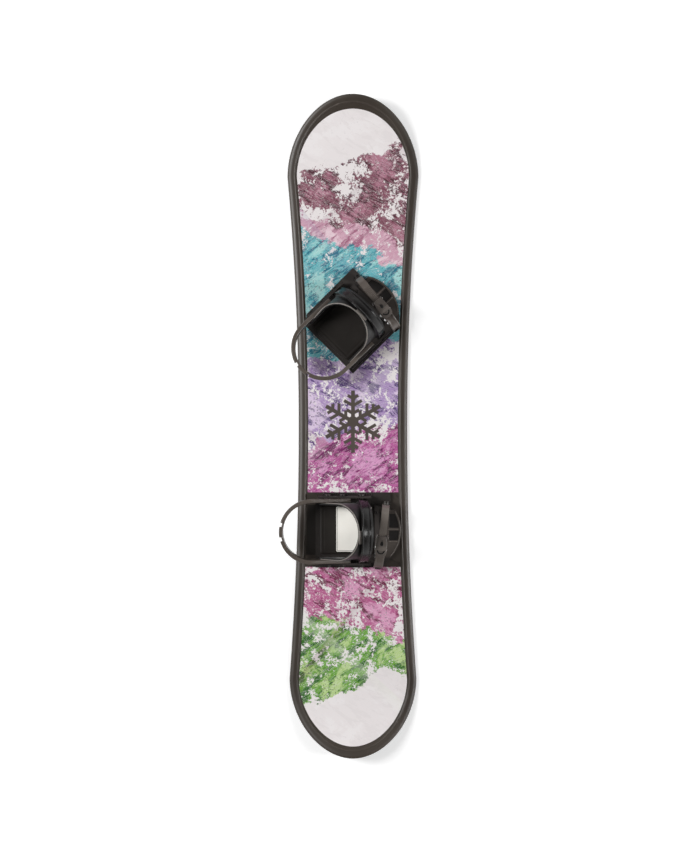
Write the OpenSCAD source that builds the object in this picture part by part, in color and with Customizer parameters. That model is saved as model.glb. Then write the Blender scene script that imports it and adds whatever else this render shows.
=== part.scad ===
// Youth snowboard with two strap bindings.
// Frame: +Y runs to the nose, +X to the toe side, +Z up. The running base lies on Z = 0,
// and the origin is on the board's centreline, midway between nose tip and tail tip.

/* [Board outline] */
// Length from tail tip to nose tip
board_l = 1100; // [900:10:1300]
// Width at the waist, the narrowest place
waist_w = 182; // [170:1:210]
// Width where the nose begins
nose_w = 220; // [215:1:240]
// Width where the tail begins
tail_w = 213; // [211:1:235]
// Length of the rounded nose
nose_l = 132; // [110:1:160]
// Length of the rounded tail
tail_l = 127; // [110:1:160]
// Fullness of the nose curve, 2 is an ellipse
nose_fullness = 1.97; // [1.8:0.01:2.3]
// Fullness of the tail curve, 2 is an ellipse
tail_fullness = 1.93; // [1.8:0.01:2.3]
// Rise of the nose tip above the running base
nose_lift = 36; // [15:1:50]
// Rise of the tail tip above the running base
tail_lift = 32; // [15:1:50]

/* [Board layers] */
// Thickness of the running base
base_t = 1.4; // [1:0.1:2.5]
// Thickness of the core
core_t = 5.2; // [4.6:0.1:9]
// Thickness of the deck over the core
deck_t = 1.6; // [1:0.1:3]
// Thickness of the graphic sheet
sheet_t = 0.3; // [0.2:0.05:0.5]
// Width of the raised rail round the deck
rail_w = 14; // [12:0.5:18]
// Height of the rail above the deck
rail_h = 0.9; // [0.6:0.1:2]
// Height of the fine ridge on the rail's inner edge
ridge_h = 0.6; // [0.2:0.1:1.2]
// Distance from the outline to the core
core_inset = 15; // [13:0.5:22]
// Distance from the rail to the graphic sheet along the sides
sheet_gap = 2; // [1:0.5:4]
// Extra distance from the rail to the graphic sheet at the nose tip
sheet_gap_nose = 7; // [0:0.5:12]
// Extra distance from the rail to the graphic sheet at the tail tip
sheet_gap_tail = 3; // [0:0.5:12]

/* [Stance] */
// Distance between the two binding centres
stance_w = 350; // [320:1:420]
// How far the middle of the stance lies ahead of the board's middle
stance_shift = 2; // [-20:1:20]
// Turn of the front binding's toe end towards the nose
front_angle = 45; // [30:1:50]
// Turn of the rear binding's toe end towards the nose
rear_angle = 0; // [-3:1:10]

/* [Base plate] */
// Length and width of the square base plate
plate_w = 125; // [123:0.5:126]
// Thickness of the base plate
plate_t = 5; // [4.5:0.1:8]
// Length of the cut on two of the plate's corners
corner_cut = 15; // [12:1:30]
// Height of the side rails above the board's deck
side_rail_z = 26; // [24:0.5:30]
// Thickness of the side rails
side_rail_t = 3.5; // [3:0.1:3.8]
// Heel end of the side rails
side_rail_heel = -58; // [-60:0.5:-55]
// Toe end of the side rails
side_rail_toe = 30; // [28:0.5:31]
// Distance between two rack teeth on the plate's flange
tooth_pitch = 4; // [3:0.5:6]
// Thickness of the footbed
footbed_t = 3; // [2:0.1:5]
// Length of the footbed
footbed_l = 90; // [86:0.5:91]
// Width of the footbed
footbed_w = 80; // [70:1:84]
// Radius of the mounting disc
disc_r = 40; // [38:0.5:44]
// Distance between neighbouring disc screws
screw_pitch = 40; // [38:1:42]
// Thread radius of the disc screws and the binding bolts
bolt_r = 2.5; // [2:0.1:2.8]

/* [Toe ramp] */
// How far the toe ramp reaches past the plate's toe edge
ramp_reach = 17; // [14:0.5:20]
// Radius of the toe ramp's front edge
ramp_r = 65; // [60:1:80]
// Height of the toe ramp
ramp_t = 7; // [6.2:0.1:8]
// Height of the bar that closes the toe end of the footbed
toe_bar_z = 11; // [9:0.5:12]

/* [Heel hoop] */
// Outer half width of the hoop's wall
hoop_r = 50; // [49.8:0.1:51]
// Thickness of the hoop's wall
hoop_t = 3; // [2:0.1:3.2]
// Width of the hoop's outward lip
hoop_lip = 3.6; // [3:0.1:4.5]
// Place of the hoop's half circle behind the disc's centre
hoop_back = 68; // [60:0.5:72]
// Height of the hoop at the heel
hoop_top = 56; // [48:1:75]
// Travel of the hoop either way along the foot
hoop_travel = 6; // [3:0.5:7]

/* [Ankle strap] */
// Width of the ankle strap along the foot
strap_w = 16; // [14:0.5:18]
// Thickness of the ankle strap
strap_t = 2.8; // [2:0.1:3]
// Slope of the instep under the ankle strap
instep_slope = 38; // [34:1:42]
// Height of the ankle strap's top at its heel edge
strap_top = 88.5; // [86:0.5:98]
// Thickness of the pad under the strap
pad_t = 3.5; // [2:0.1:3.6]

/* [Toe strap] */
// Width of the toe strap
toe_strap_w = 15; // [12:0.5:16]
// Thickness of the toe strap
toe_strap_t = 2.5; // [2:0.1:3]
// Span of the toe strap across the foot
toe_strap_span = 106; // [104:0.5:107]
// Height of the toe strap's top
toe_strap_top = 44; // [40:0.5:47]
// Turn of the toe strap seen from above
toe_strap_turn = 7.3; // [5:0.1:9]
// Width of the ladder strap
ladder_w = 12; // [10:0.5:12.5]
// Thickness of the ladder strap under its teeth
ladder_t = 2; // [1.5:0.1:2.2]
// Distance between two ladder teeth
ladder_pitch = 2.4; // [2:0.1:4]
// Length of the ratchet buckle
buckle_l = 30; // [28:0.5:34]
// Width of the ratchet buckle
buckle_w = 18.6; // [18.2:0.1:20]

/* [Hidden] */

// Clearances: sliding faces, running shafts, and seated parts
slip = 0.3;
run = 0.05;
seat = 0.1;
// Overshoot of cuts
cut = 1;
$fn = 48;

// Colours
charcoal = "#2b2724";
rail_brown = "#443d36";
near_black = "#1c1a19";
steel = "#c9cacc";
dark_steel = "#2e2c2a";
grey_tab = "#a39d97";

// Board outline: half of it runs from tail tip to nose tip on the +X side
tip_steps = 16;
side_steps = 7;
nose_y = board_l / 2 - nose_l;
tail_y = board_l / 2 - tail_l;

function arc_radius(chord, rise) = (chord * chord + rise * rise) / (2 * rise);
nose_cut_r = arc_radius(nose_y, (nose_w - waist_w) / 2);
tail_cut_r = arc_radius(tail_y, (tail_w - waist_w) / 2);
nose_lift_r = arc_radius(nose_l, nose_lift);
tail_lift_r = arc_radius(tail_l, tail_lift);

function side_x(y, r) = waist_w / 2 + r - sqrt(r * r - y * y);
function base_z(y) =
    y > nose_y ? nose_lift_r - sqrt(nose_lift_r * nose_lift_r - pow(y - nose_y, 2))
    : y < -tail_y ? tail_lift_r - sqrt(tail_lift_r * tail_lift_r - pow(-tail_y - y, 2))
    : 0;

half_outline = concat(
    [for (i = [0 : tip_steps - 1]) let (a = 90 - i * 90 / tip_steps)
        [tail_w / 2 * pow(cos(a), 2 / tail_fullness),
         -tail_y - tail_l * pow(sin(a), 2 / tail_fullness)]],
    [for (i = [0 : side_steps - 1]) let (y = -tail_y * (1 - i / side_steps))
        [side_x(y, tail_cut_r), y]],
    [for (i = [0 : side_steps - 1]) let (y = nose_y * i / side_steps)
        [side_x(y, nose_cut_r), y]],
    [for (i = [0 : tip_steps]) let (a = i * 90 / tip_steps)
        [nose_w / 2 * pow(cos(a), 2 / nose_fullness),
         nose_y + nose_l * pow(sin(a), 2 / nose_fullness)]]
);
half_count = len(half_outline);
outline = concat(
    half_outline,
    [for (i = [half_count - 2 : -1 : 1]) [-half_outline[i][0], half_outline[i][1]]]
);
outline_count = len(outline);

function tangent(i) =
    outline[(i + 1) % outline_count] - outline[(i + outline_count - 1) % outline_count];
function outward(i) = let (t = tangent(i)) [t[1], -t[0]] / norm(t);
normals = [for (i = [0 : outline_count - 1]) outward(i)];
function inset(d, nose_extra = 0, tail_extra = 0) =
    [for (i = [0 : outline_count - 1]) let (
        up = max(0, normals[i][1]),
        down = max(0, -normals[i][1])
    ) outline[i] - normals[i] * (d + nose_extra * up * up + tail_extra * down * down)];

// Side view: the base curve at the outline's own stations, carried a little past both tips
past_tip = 4;
stations = concat([-board_l / 2 - past_tip], [for (p = half_outline) p[1]],
    [board_l / 2 + past_tip]);
lift_table = [for (y = stations) [y, base_z(y)]];
station_count = len(stations);

// Heights above the running base
core_z = base_t;
deck_z = base_t + core_t + deck_t;
sheet_z = deck_z + sheet_t;
rail_z = deck_z + rail_h;
ridge_z = rail_z + ridge_h;

// A layer of the board between two heights above the base curve
module layer(points, z0, z1) {
    intersection() {
        translate([0, 0, -cut])
            linear_extrude(height = max(nose_lift, tail_lift) + ridge_z + 3 * cut)
                polygon(points);
        rotate([90, 0, 90])
            linear_extrude(height = 2 * nose_w, center = true)
                polygon(concat(
                    [for (p = lift_table) [p[0], p[1] + z0]],
                    [for (i = [station_count - 1 : -1 : 0])
                        [lift_table[i][0], lift_table[i][1] + z1]]
                ));
    }
}

// Cross-section of the rounded rail: distance in from the outline, height above the base curve.
// It has a straight side, a rounded shoulder, a nearly flat top and the ridge
rail_section = [
    [0, base_t],
    [0, base_t + 2.4],
    [0.7, rail_z - 2.6],
    [2.2, rail_z - 1],
    [4.8, rail_z - 0.2],
    [8, rail_z],
    [rail_w - 3, rail_z + 0.1],
    [rail_w - 2, ridge_z],
    [rail_w - 0.9, ridge_z],
    [rail_w + 0.6, rail_z - 0.4]
];
section_count = len(rail_section);

// A closed solid whose skin runs through the rail section all round the outline
module railed_solid() {
    points = [for (s = rail_section, p = inset(s[0]))
        [p[0], p[1], lookup(p[1], lift_table) + s[1]]];
    ring_faces = [for (k = [0 : section_count - 2], i = [0 : outline_count - 1])
        let (
            j = (i + 1) % outline_count,
            a = k * outline_count + i,
            b = k * outline_count + j,
            c = b + outline_count,
            d = a + outline_count
        ) each [[a, d, c], [a, c, b]]];
    top = (section_count - 1) * outline_count;
    function mirrored(i) = (outline_count - i) % outline_count;
    cap_faces = [for (i = [0 : half_count - 2]) let (
            a = i, b = i + 1, c = mirrored(i + 1), d = mirrored(i)
        ) each concat(
            a == d ? [] : [[a, b, d], [top + a, top + d, top + b]],
            b == c ? [] : [[b, c, d], [top + b, top + d, top + c]]
        )];
    polyhedron(points = points, faces = concat(ring_faces, cap_faces), convexity = 6);
}

// Binding frame: u to the toe, v across the foot, z above the graphic sheet
front_y = stance_shift + stance_w / 2;
rear_y = stance_shift - stance_w / 2;
module place(side) {
    translate([0, side == "front" ? front_y : rear_y, sheet_z])
        rotate([0, 0, side == "front" ? front_angle : rear_angle])
            children();
}
module screw_places() {
    for (u = [-1, 1], v = [-1, 1])
        translate([u * screw_pitch / 2, v * screw_pitch / 2, 0]) children();
}
module both_bindings() {
    place("front") children();
    place("rear") children();
}

// A cylinder along v, from v0 to v1
module v_cylinder(r, v0, v1) {
    translate([0, v1, 0]) rotate([90, 0, 0]) cylinder(r = r, h = v1 - v0);
}
// A side view outline in u and z, as wide as the binding and centred on v = 0
module side_view() {
    rotate([90, 0, 0]) linear_extrude(height = 2 * plate_w, center = true) children();
}
module box(u0, u1, v0, v1, z0, z1) {
    translate([u0, v0, z0]) cube([u1 - u0, v1 - v0, z1 - z0]);
}
function rounded(w, h, r, steps = 6) =
    [for (q = [0 : 3], i = [0 : steps]) let (
        a = q * 90 + i * 90 / steps,
        sx = (q == 0 || q == 3) ? 1 : -1,
        sy = q < 2 ? 1 : -1
    ) [sx * (w / 2 - r) + r * cos(a), sy * (h / 2 - r) + r * sin(a)]];

half_plate = plate_w / 2;
// Side rails stand outside the hoop's lip
side_rail_v = hoop_r + hoop_lip + slip;
// Stops under the heel edge of the footbed
heel_rib_w = 2;
heel_rib_v = 34;
heel_rib_h = 1.2;
// Rack teeth beside the side rails
tooth_h = 1.5;
first_tooth = 12;
disc_ledge = 4;
disc_step_r = disc_r - disc_ledge;
disc_step_z = plate_t / 2;

// Insert nuts: a flanged barrel in the core that takes a disc screw from above
insert_r = 4.3;
insert_flange_r = 8;
insert_flange_t = 1.2;
screw_len = core_t + deck_t + sheet_t - insert_flange_t - slip;
disc_screw_r = bolt_r + 0.5;
disc_head_r = disc_screw_r + 3;
disc_head_t = 2.4;
disc_head_z = plate_t - disc_head_t - 2 * seat;
hex_depth = 1.2;
hex_wall = 0.8;

// Heel hoop
hoop_front = -4;
hoop_bolt_u = [-18, -42];
hoop_bolt_z = 15;
hoop_boss_r = 6.2;
hoop_front_z = 27;
hoop_sole_z = 9;
hoop_heel_sole_z = 32;
hoop_heel_bend = 16;
hoop_heel_dip = 8;
notch_v = 11.5;
notch_w = 6;
notch_depth = 0.2;
lip_t = 3;
bolt_head_r = 5.2;
bolt_head_t = 2.4;

// Ankle strap: layers of one arch whose axis follows the instep's slope
strap_play = 0.7;
strap_r = side_rail_v - strap_play;
pad_r = hoop_r - hoop_t - slip;
pad_block_r = strap_r - strap_t - slip;
strap_heel = 15;
strap_toe = strap_heel + strap_w;
strap_lean = 9;
pivot_u = strap_heel - strap_lean + strap_w / 2;
pivot_z = 17;
// Height of the arch's centre line where the strap's heel edge crosses it
arch_z = strap_top - strap_r / cos(instep_slope);
strap_toe_z = strap_top - strap_w * tan(instep_slope);
strap_past_top = 9;
wing_heel = -56;
wing_h = 6;
wing_lean = 5;
pad_foot_z = 24;
pad_edge = 2;
pad_heel_edge = 4;
pad_heel_drop = 2.5;

// Toe bar
toe_bar_u = 36;
toe_bar_w = 8;
toe_bar_ends = [-50, 42];
toe_bar_screw_r = 1.5;
toe_bar_screw_depth = 4;

// Toe strap: its own frame is turned about z, with v along the strap
toe_u = 48;
toe_v = -9.5;
toe_pivot_z = 13.5;
toe_outer = toe_strap_span / 2;
lug_t = 3;
lug_r = 5.5;
// The strap's legs are straight up to the top of the lugs
toe_corner_r = toe_strap_top - toe_pivot_z - lug_r;
floor_t = 1.5;
ladder_z = toe_strap_top + floor_t + slip;
ladder_tooth = 0.8;
ladder_top = ladder_z + ladder_t;
tooth_side = 1.5;
module toe_place() {
    translate([toe_u, toe_v, 0]) rotate([0, 0, -toe_strap_turn]) children();
}

// Buckle: lengths run along the toe strap
buckle_v = 4.5;
buckle_end = buckle_v - buckle_l;
wall_t = 2.2;
lever_pin_v = buckle_v - 4;
lever_pin_z = ladder_top + ladder_tooth + 3.4;
pawl_pin_v = buckle_end + 6;
pin_r = 1.3;
pin_end = 0.6;
lever_half = buckle_w / 2 - wall_t - slip;
boss_r = 3.4;

// ---- Board ----

module running_base() {
    color(near_black) layer(outline, 0, base_t);
}

module core() {
    color("tan") difference() {
        layer(inset(core_inset), core_z, core_z + core_t);
        both_bindings() screw_places() {
            translate([0, 0, core_z - cut - sheet_z])
                cylinder(r = insert_flange_r + seat, h = insert_flange_t + cut + seat);
            translate([0, 0, -sheet_z]) cylinder(r = insert_r + seat, h = sheet_z);
        }
    }
}

module deck_shell() {
    color(rail_brown) difference() {
        railed_solid();
        layer(inset(rail_w), deck_z, ridge_z + cut);
        layer(inset(core_inset), core_z - cut, core_z + core_t);
        both_bindings() screw_places()
            translate([0, 0, -sheet_z]) cylinder(r = insert_r + seat, h = sheet_z + cut);
    }
}

module graphic_sheet() {
    color("plum") difference() {
        layer(inset(rail_w + sheet_gap, sheet_gap_nose, sheet_gap_tail), deck_z, sheet_z);
        both_bindings() screw_places()
            translate([0, 0, -2 * sheet_t])
                cylinder(r = disc_screw_r + 4 * seat, h = 4 * sheet_t);
    }
}

module insert_nuts() {
    color(steel) both_bindings() screw_places() translate([0, 0, core_z - sheet_z])
        difference() {
            union() {
                cylinder(r = insert_flange_r, h = insert_flange_t);
                cylinder(r = insert_r, h = core_t + deck_t - seat);
            }
            translate([0, 0, insert_flange_t - seat])
                cylinder(r = disc_screw_r + run, h = core_t + deck_t);
        }
}

// ---- Bindings ----

module plate_outline() {
    c = corner_cut;
    h = half_plate;
    polygon([[-h, -h], [h - c, -h], [h, c - h], [h, h], [c - h, h], [-h, h - c]]);
}

// The lugs that carry the toe strap, on the inner side of one leg and the outer side of the other
lug_v = [-toe_outer + toe_strap_t + seat, toe_outer + seat];
module toe_lugs() {
    for (v = lug_v) difference() {
        union() {
            translate([0, 0, toe_pivot_z]) v_cylinder(lug_r, v, v + lug_t);
            box(-lug_r, lug_r, v, v + lug_t, plate_t / 2, toe_pivot_z);
        }
        translate([0, 0, toe_pivot_z]) v_cylinder(bolt_r + run, v - cut, v + lug_t + cut);
    }
}

module base_plate() {
    color(charcoal) {
        difference() {
            union() {
                translate([0, 0, seat]) linear_extrude(height = plate_t - seat) plate_outline();
                for (s = [-1, 1]) scale([1, s, 1]) side_rail();
                toe_place() toe_lugs();
                box(toe_bar_u, toe_bar_u + toe_bar_w, toe_bar_ends[0], toe_bar_ends[1],
                    plate_t / 2, toe_bar_z);
                box(footbed_heel - slip - heel_rib_w, footbed_heel - slip,
                    -heel_rib_v, heel_rib_v, plate_t / 2, plate_t + heel_rib_h);
            }
            translate([0, 0, -cut]) cylinder(r = disc_step_r + slip, h = plate_t + 2 * cut);
            translate([0, 0, disc_step_z]) cylinder(r = disc_r + slip, h = plate_t);
            for (s = toe_bar_screw_places())
                translate([s[0], s[1], toe_bar_z - toe_bar_screw_depth - cut])
                    cylinder(r = toe_bar_screw_r + run, h = toe_bar_screw_depth + 2 * cut);
        }
    }
}

// A side rail with a slot for each hoop bolt and the ankle strap's pivot hole, and the rack beside it
module side_rail() {
    v0 = side_rail_v;
    v1 = side_rail_v + side_rail_t;
    difference() {
        box(side_rail_heel, side_rail_toe, v0, v1, plate_t / 2, side_rail_z);
        for (u = hoop_bolt_u) bolt_slot(u, v0 - cut, v1 + cut);
        translate([pivot_u, 0, pivot_z]) v_cylinder(bolt_r + run, v0 - cut, v1 + cut);
    }
    for (u = [side_rail_heel + first_tooth : tooth_pitch : side_rail_toe])
        box(u, u + tooth_pitch / 2, v1 - seat, half_plate - cut, plate_t / 2, plate_t + tooth_h);
}
module bolt_slot(u, v0, v1) {
    r = bolt_r + 2 * seat;
    for (s = [-1, 1]) translate([u + s * (hoop_travel + slip), 0, hoop_bolt_z])
        v_cylinder(r, v0, v1);
    box(u - hoop_travel - slip, u + hoop_travel + slip, v0, v1,
        hoop_bolt_z - r, hoop_bolt_z + r);
}

module mounting_disc() {
    color(near_black) difference() {
        union() {
            cylinder(r = disc_step_r, h = plate_t);
            translate([0, 0, disc_step_z + slip])
                cylinder(r = disc_r, h = plate_t - disc_step_z - slip);
        }
        screw_places() {
            translate([0, 0, -cut]) cylinder(r = disc_screw_r + 2 * seat, h = plate_t + 2 * cut);
            translate([0, 0, disc_head_z])
                cylinder(r = disc_head_r + seat, h = plate_t - disc_head_z + cut);
        }
    }
}

module disc_screws() {
    color(steel) screw_places() {
        translate([0, 0, -screw_len]) cylinder(r = disc_screw_r, h = screw_len + disc_head_z);
        translate([0, 0, disc_head_z]) difference() {
            cylinder(r = disc_head_r, h = disc_head_t);
            translate([0, 0, disc_head_t - hex_depth])
                cylinder(r = disc_screw_r - hex_wall, h = hex_depth + cut, $fn = 6);
        }
    }
}

footbed_z = plate_t + seat + footbed_t;
footbed_toe = toe_bar_u - 1;
footbed_heel = footbed_toe - footbed_l;
footbed_corner = 4;
module footbed() {
    color(charcoal) translate([footbed_toe - footbed_l / 2, 0, plate_t + seat])
        linear_extrude(height = footbed_t) polygon(rounded(footbed_l, footbed_w, footbed_corner));
}

// Blank label on the rear footbed: its ends along and across the foot, and its thickness
label_u = [-28, 34.5];
label_v = [-36, 39];
label_t = 0.3;
module rear_label() {
    color("white") place("rear")
        box(label_u[0], label_u[1], label_v[0], label_v[1], footbed_z, footbed_z + label_t);
}

// Ramp under the toes, with a rounded front and sloping top, and pockets for two rubber pads
ramp_v = -1;
ramp_ends = [-45, 33];
ramp_foot_z = 2;
ramp_overlap = 16;
ramp_skirt = 1.2;
skirt_drop = 1.2;
toe_pad_t = 1;
pocket_z = ramp_t - 1.6;
module ramp_plan(grow) {
    intersection() {
        translate([half_plate + ramp_reach - ramp_r, ramp_v]) circle(r = ramp_r + grow, $fn = 96);
        translate([half_plate - ramp_overlap - grow, ramp_ends[0] - grow])
            square([ramp_reach + ramp_overlap + 2, ramp_ends[1] - ramp_ends[0] + 2 * grow]);
    }
}
pad_spans = [[4, 27], [-17, -1]];
toe_pad_edge = 3;
module toe_pad_plan(span, grow) {
    intersection() {
        ramp_plan(grow - toe_pad_edge);
        translate([half_plate - 2 - grow, span[0] - grow])
            square([ramp_reach + 4, span[1] - span[0] + 2 * grow]);
    }
}
module toe_ramp() {
    color(charcoal) difference() {
        union() {
            translate([0, 0, ramp_foot_z])
                linear_extrude(height = ramp_t - ramp_foot_z) ramp_plan(0);
            translate([0, 0, ramp_foot_z])
                linear_extrude(height = ramp_t - skirt_drop - ramp_foot_z) ramp_plan(ramp_skirt);
        }
        box(half_plate - 2 * ramp_overlap, half_plate + seat, -half_plate, half_plate,
            -cut, plate_t + seat);
        for (span = pad_spans) translate([0, 0, pocket_z])
            linear_extrude(height = ramp_t) toe_pad_plan(span, seat);
    }
}
module toe_pads() {
    color(near_black) for (span = pad_spans) translate([0, 0, pocket_z + seat])
        linear_extrude(height = toe_pad_t) toe_pad_plan(span, 0);
}

// Screws on the toe bar: place and head radius
function toe_bar_screw_places() = [
    [toe_bar_u + 3, 29, 2.6], [toe_bar_u + 3, -28, 2.6], [toe_bar_u + 3, -38, 2.6],
    [toe_bar_u + 3, -45, 2.6]
];
module toe_bar_screws() {
    color(steel) for (s = toe_bar_screw_places()) translate([s[0], s[1], toe_bar_z]) {
        translate([0, 0, -toe_bar_screw_depth])
            cylinder(r = toe_bar_screw_r, h = toe_bar_screw_depth + cut);
        intersection() {
            translate([0, 0, -0.4 * s[2]]) sphere(r = 1.08 * s[2]);
            cylinder(r = s[2], h = s[2]);
        }
    }
}

// The hoop's U shape seen from above, as a solid out to radius r
module hoop_plan(r) {
    translate([-hoop_back, 0]) circle(r = r, $fn = 96);
    translate([-hoop_back, -r]) square([hoop_back + hoop_front, 2 * r]);
}
hoop_tail = -hoop_back - hoop_r - hoop_lip - cut;
// Upper edge of the hoop seen from the side, at the front, over the heel edge and at the back
hoop_crest = [
    [hoop_front + cut, hoop_front_z], [-hoop_back, hoop_top - hoop_heel_dip],
    [hoop_tail, hoop_top]
];
hoop_sole = [
    [hoop_tail, hoop_heel_sole_z],
    [-hoop_back - hoop_heel_bend, (hoop_sole_z + hoop_heel_sole_z) / 2],
    [-hoop_back, hoop_sole_z], [hoop_front + cut, hoop_sole_z]
];
module heel_hoop() {
    color(charcoal) difference() {
        union() {
            intersection() {
                linear_extrude(height = 2 * hoop_top) difference() {
                    hoop_plan(hoop_r);
                    hoop_plan_inside();
                }
                side_view() polygon(concat(hoop_crest, hoop_sole));
            }
            intersection() {
                linear_extrude(height = 2 * hoop_top) difference() {
                    hoop_plan(hoop_r + hoop_lip);
                    hoop_plan_inside();
                }
                side_view() polygon(concat(
                    hoop_crest,
                    [for (i = [2 : -1 : 0]) hoop_crest[i] - [0, lip_t]]
                ));
            }
            for (s = [-1, 1], u = hoop_bolt_u) scale([1, s, 1])
                translate([u, 0, hoop_bolt_z])
                    v_cylinder(hoop_boss_r, hoop_r - hoop_t, hoop_r + hoop_lip);
        }
        for (s = [-1, 1]) box(hoop_tail - cut, -hoop_back - hoop_r + notch_depth,
            s * notch_v - notch_w / 2, s * notch_v + notch_w / 2, 0, 2 * hoop_top);
        for (s = [-1, 1], u = hoop_bolt_u) scale([1, s, 1]) translate([u, 0, hoop_bolt_z])
            v_cylinder(bolt_r + run, hoop_r - hoop_t - cut, hoop_r + hoop_lip + cut);
    }
}
module hoop_plan_inside() {
    translate([-hoop_back, 0]) circle(r = hoop_r - hoop_t, $fn = 96);
    translate([-hoop_back, -(hoop_r - hoop_t)])
        square([hoop_back + hoop_front + cut, 2 * (hoop_r - hoop_t)]);
}

// A bolt along v through the side rail, with its head outside
module rail_bolt(inner) {
    v_cylinder(bolt_r, inner, side_rail_v + side_rail_t + cut);
    difference() {
        v_cylinder(bolt_head_r, side_rail_v + side_rail_t + seat,
            side_rail_v + side_rail_t + seat + bolt_head_t);
        translate([0, side_rail_v + side_rail_t + seat + bolt_head_t + cut, 0])
            rotate([90, 0, 0])
                cylinder(r = bolt_r - hex_wall / 2, h = hex_depth + cut, $fn = 6);
    }
}
module hoop_bolts() {
    color(dark_steel) for (s = [-1, 1], u = hoop_bolt_u) scale([1, s, 1])
        translate([u, 0, hoop_bolt_z]) rail_bolt(hoop_r - hoop_t + seat);
}
nut_t = 2.2;
module ankle_bolts() {
    color(dark_steel) for (s = [-1, 1]) scale([1, s, 1]) translate([pivot_u, 0, pivot_z]) {
        rail_bolt(pad_block_r - nut_t + slip);
        v_cylinder(bolt_head_r, pad_block_r - nut_t + slip, pad_block_r + seat);
    }
}

// One layer of the arch over the instep, between two radii
module arch_layer(r0, r1) {
    translate([strap_heel, 0, arch_z]) rotate([0, instep_slope, 0]) rotate([90, 0, 90])
        linear_extrude(height = 4 * strap_top, center = true) difference() {
            arch_plan(r1);
            arch_plan(r0);
        }
}
module arch_plan(r) {
    circle(r = r, $fn = 96);
    translate([-r, -3 * strap_top]) square([2 * r, 3 * strap_top]);
}

module ankle_strap() {
    color(near_black) difference() {
        intersection() {
            arch_layer(strap_r - strap_t, strap_r);
            side_view() {
                translate([pivot_u, pivot_z]) circle(r = strap_w / 2);
                polygon([
                    [pivot_u - strap_w / 2, pivot_z], [pivot_u + strap_w / 2, pivot_z],
                    [strap_toe, strap_toe_z], [strap_toe + 0.5, strap_top + strap_past_top],
                    [strap_heel + 0.5, strap_top + strap_past_top],
                    [strap_heel, strap_top - strap_lean]
                ]);
            }
        }
        for (s = [-1, 1]) scale([1, s, 1]) translate([pivot_u, 0, pivot_z])
            v_cylinder(bolt_r + run, pad_r, side_rail_v);
    }
}

// The pad: a thin lining with wings that sweep back to the heel, thicker under the strap
module ankle_pad() {
    color(near_black) {
        intersection() {
            arch_layer(pad_r - pad_t, pad_r);
            side_view() polygon([
                [wing_heel, pad_foot_z + wing_h], [wing_heel + wing_lean, pad_foot_z],
                [pivot_u + strap_w / 2 + pad_edge + 1, pad_foot_z],
                [strap_toe + pad_edge, strap_toe_z - strap_lean],
                [strap_toe + pad_edge + 0.5, strap_top], [strap_heel - pad_heel_edge, strap_top],
                [strap_heel - pad_heel_edge, strap_top - pad_heel_drop]
            ]);
        }
        intersection() {
            arch_layer(pad_r - pad_t / 2, pad_block_r);
            side_view() polygon([
                [pivot_u - strap_w / 2 + 1, pad_foot_z],
                [pivot_u + strap_w / 2 + pad_edge, pad_foot_z],
                [strap_toe + 1, strap_toe_z - strap_lean], [strap_toe + 1.5, strap_top],
                [strap_heel + 3, strap_top], [strap_heel + 1, strap_toe_z - strap_lean]
            ]);
        }
    }
}

// The clip at the middle of the pad's heel edge
clip_v = [-18, 4];
clip_u = [-5.2, 0.6];
clip_t = 1.9;
module pad_clip() {
    color(grey_tab) intersection() {
        arch_layer(pad_r + seat, pad_r + seat + clip_t);
        box(strap_heel + clip_u[0], strap_heel + clip_u[1], clip_v[0], clip_v[1],
            pivot_z, 2 * strap_top);
    }
}

// The toe strap's arch seen along the foot, as a solid out to half width w and height top
module toe_arch_plan(w, top, r) {
    translate([-w, 0]) square([2 * w, top - r]);
    translate([-w + r, 0]) square([2 * (w - r), top]);
    for (s = [-1, 1]) translate([s * (w - r), top - r]) circle(r = r, $fn = 64);
}
module toe_arch(width, w, top, r, t) {
    rotate([90, 0, 90]) linear_extrude(height = width, center = true) difference() {
        toe_arch_plan(w, top, r);
        translate([0, -cut]) toe_arch_plan(w - t, top - t + cut, r - t);
    }
}
// Keeps what lies between two places along the toe strap, above a rounded foot at the pivot
module toe_strap_span_view(v0, v1, width) {
    intersection() {
        children();
        union() {
            box(-width / 2, width / 2, v0, v1, toe_pivot_z, 2 * toe_strap_top);
            translate([0, 0, toe_pivot_z]) v_cylinder(width / 2, v0, v1);
        }
    }
}
module toe_strap() {
    color(charcoal) toe_place() difference() {
        toe_strap_span_view(-2 * toe_outer, buckle_v - 1, toe_strap_w)
            toe_arch(toe_strap_w, toe_outer, toe_strap_top, toe_corner_r, toe_strap_t);
        translate([0, 0, toe_pivot_z])
            v_cylinder(bolt_r + run, -toe_outer - cut, -toe_outer + toe_strap_t + cut);
    }
}
ladder_teeth_v = [buckle_end + 2, toe_outer - toe_corner_r];
module ladder_strap() {
    color(charcoal) toe_place() {
        difference() {
            toe_strap_span_view(buckle_end - 1, 2 * toe_outer, ladder_w)
                toe_arch(ladder_w, toe_outer, ladder_top, toe_corner_r, ladder_t);
            translate([0, 0, toe_pivot_z])
                v_cylinder(bolt_r + run, toe_outer - ladder_t - cut, toe_outer + cut);
        }
        for (v = [ladder_teeth_v[0] : ladder_pitch : ladder_teeth_v[1]])
            box(-ladder_w / 2 + tooth_side, ladder_w / 2 - tooth_side, v, v + ladder_pitch / 2,
                ladder_top - seat, ladder_top + ladder_tooth);
    }
}
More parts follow.
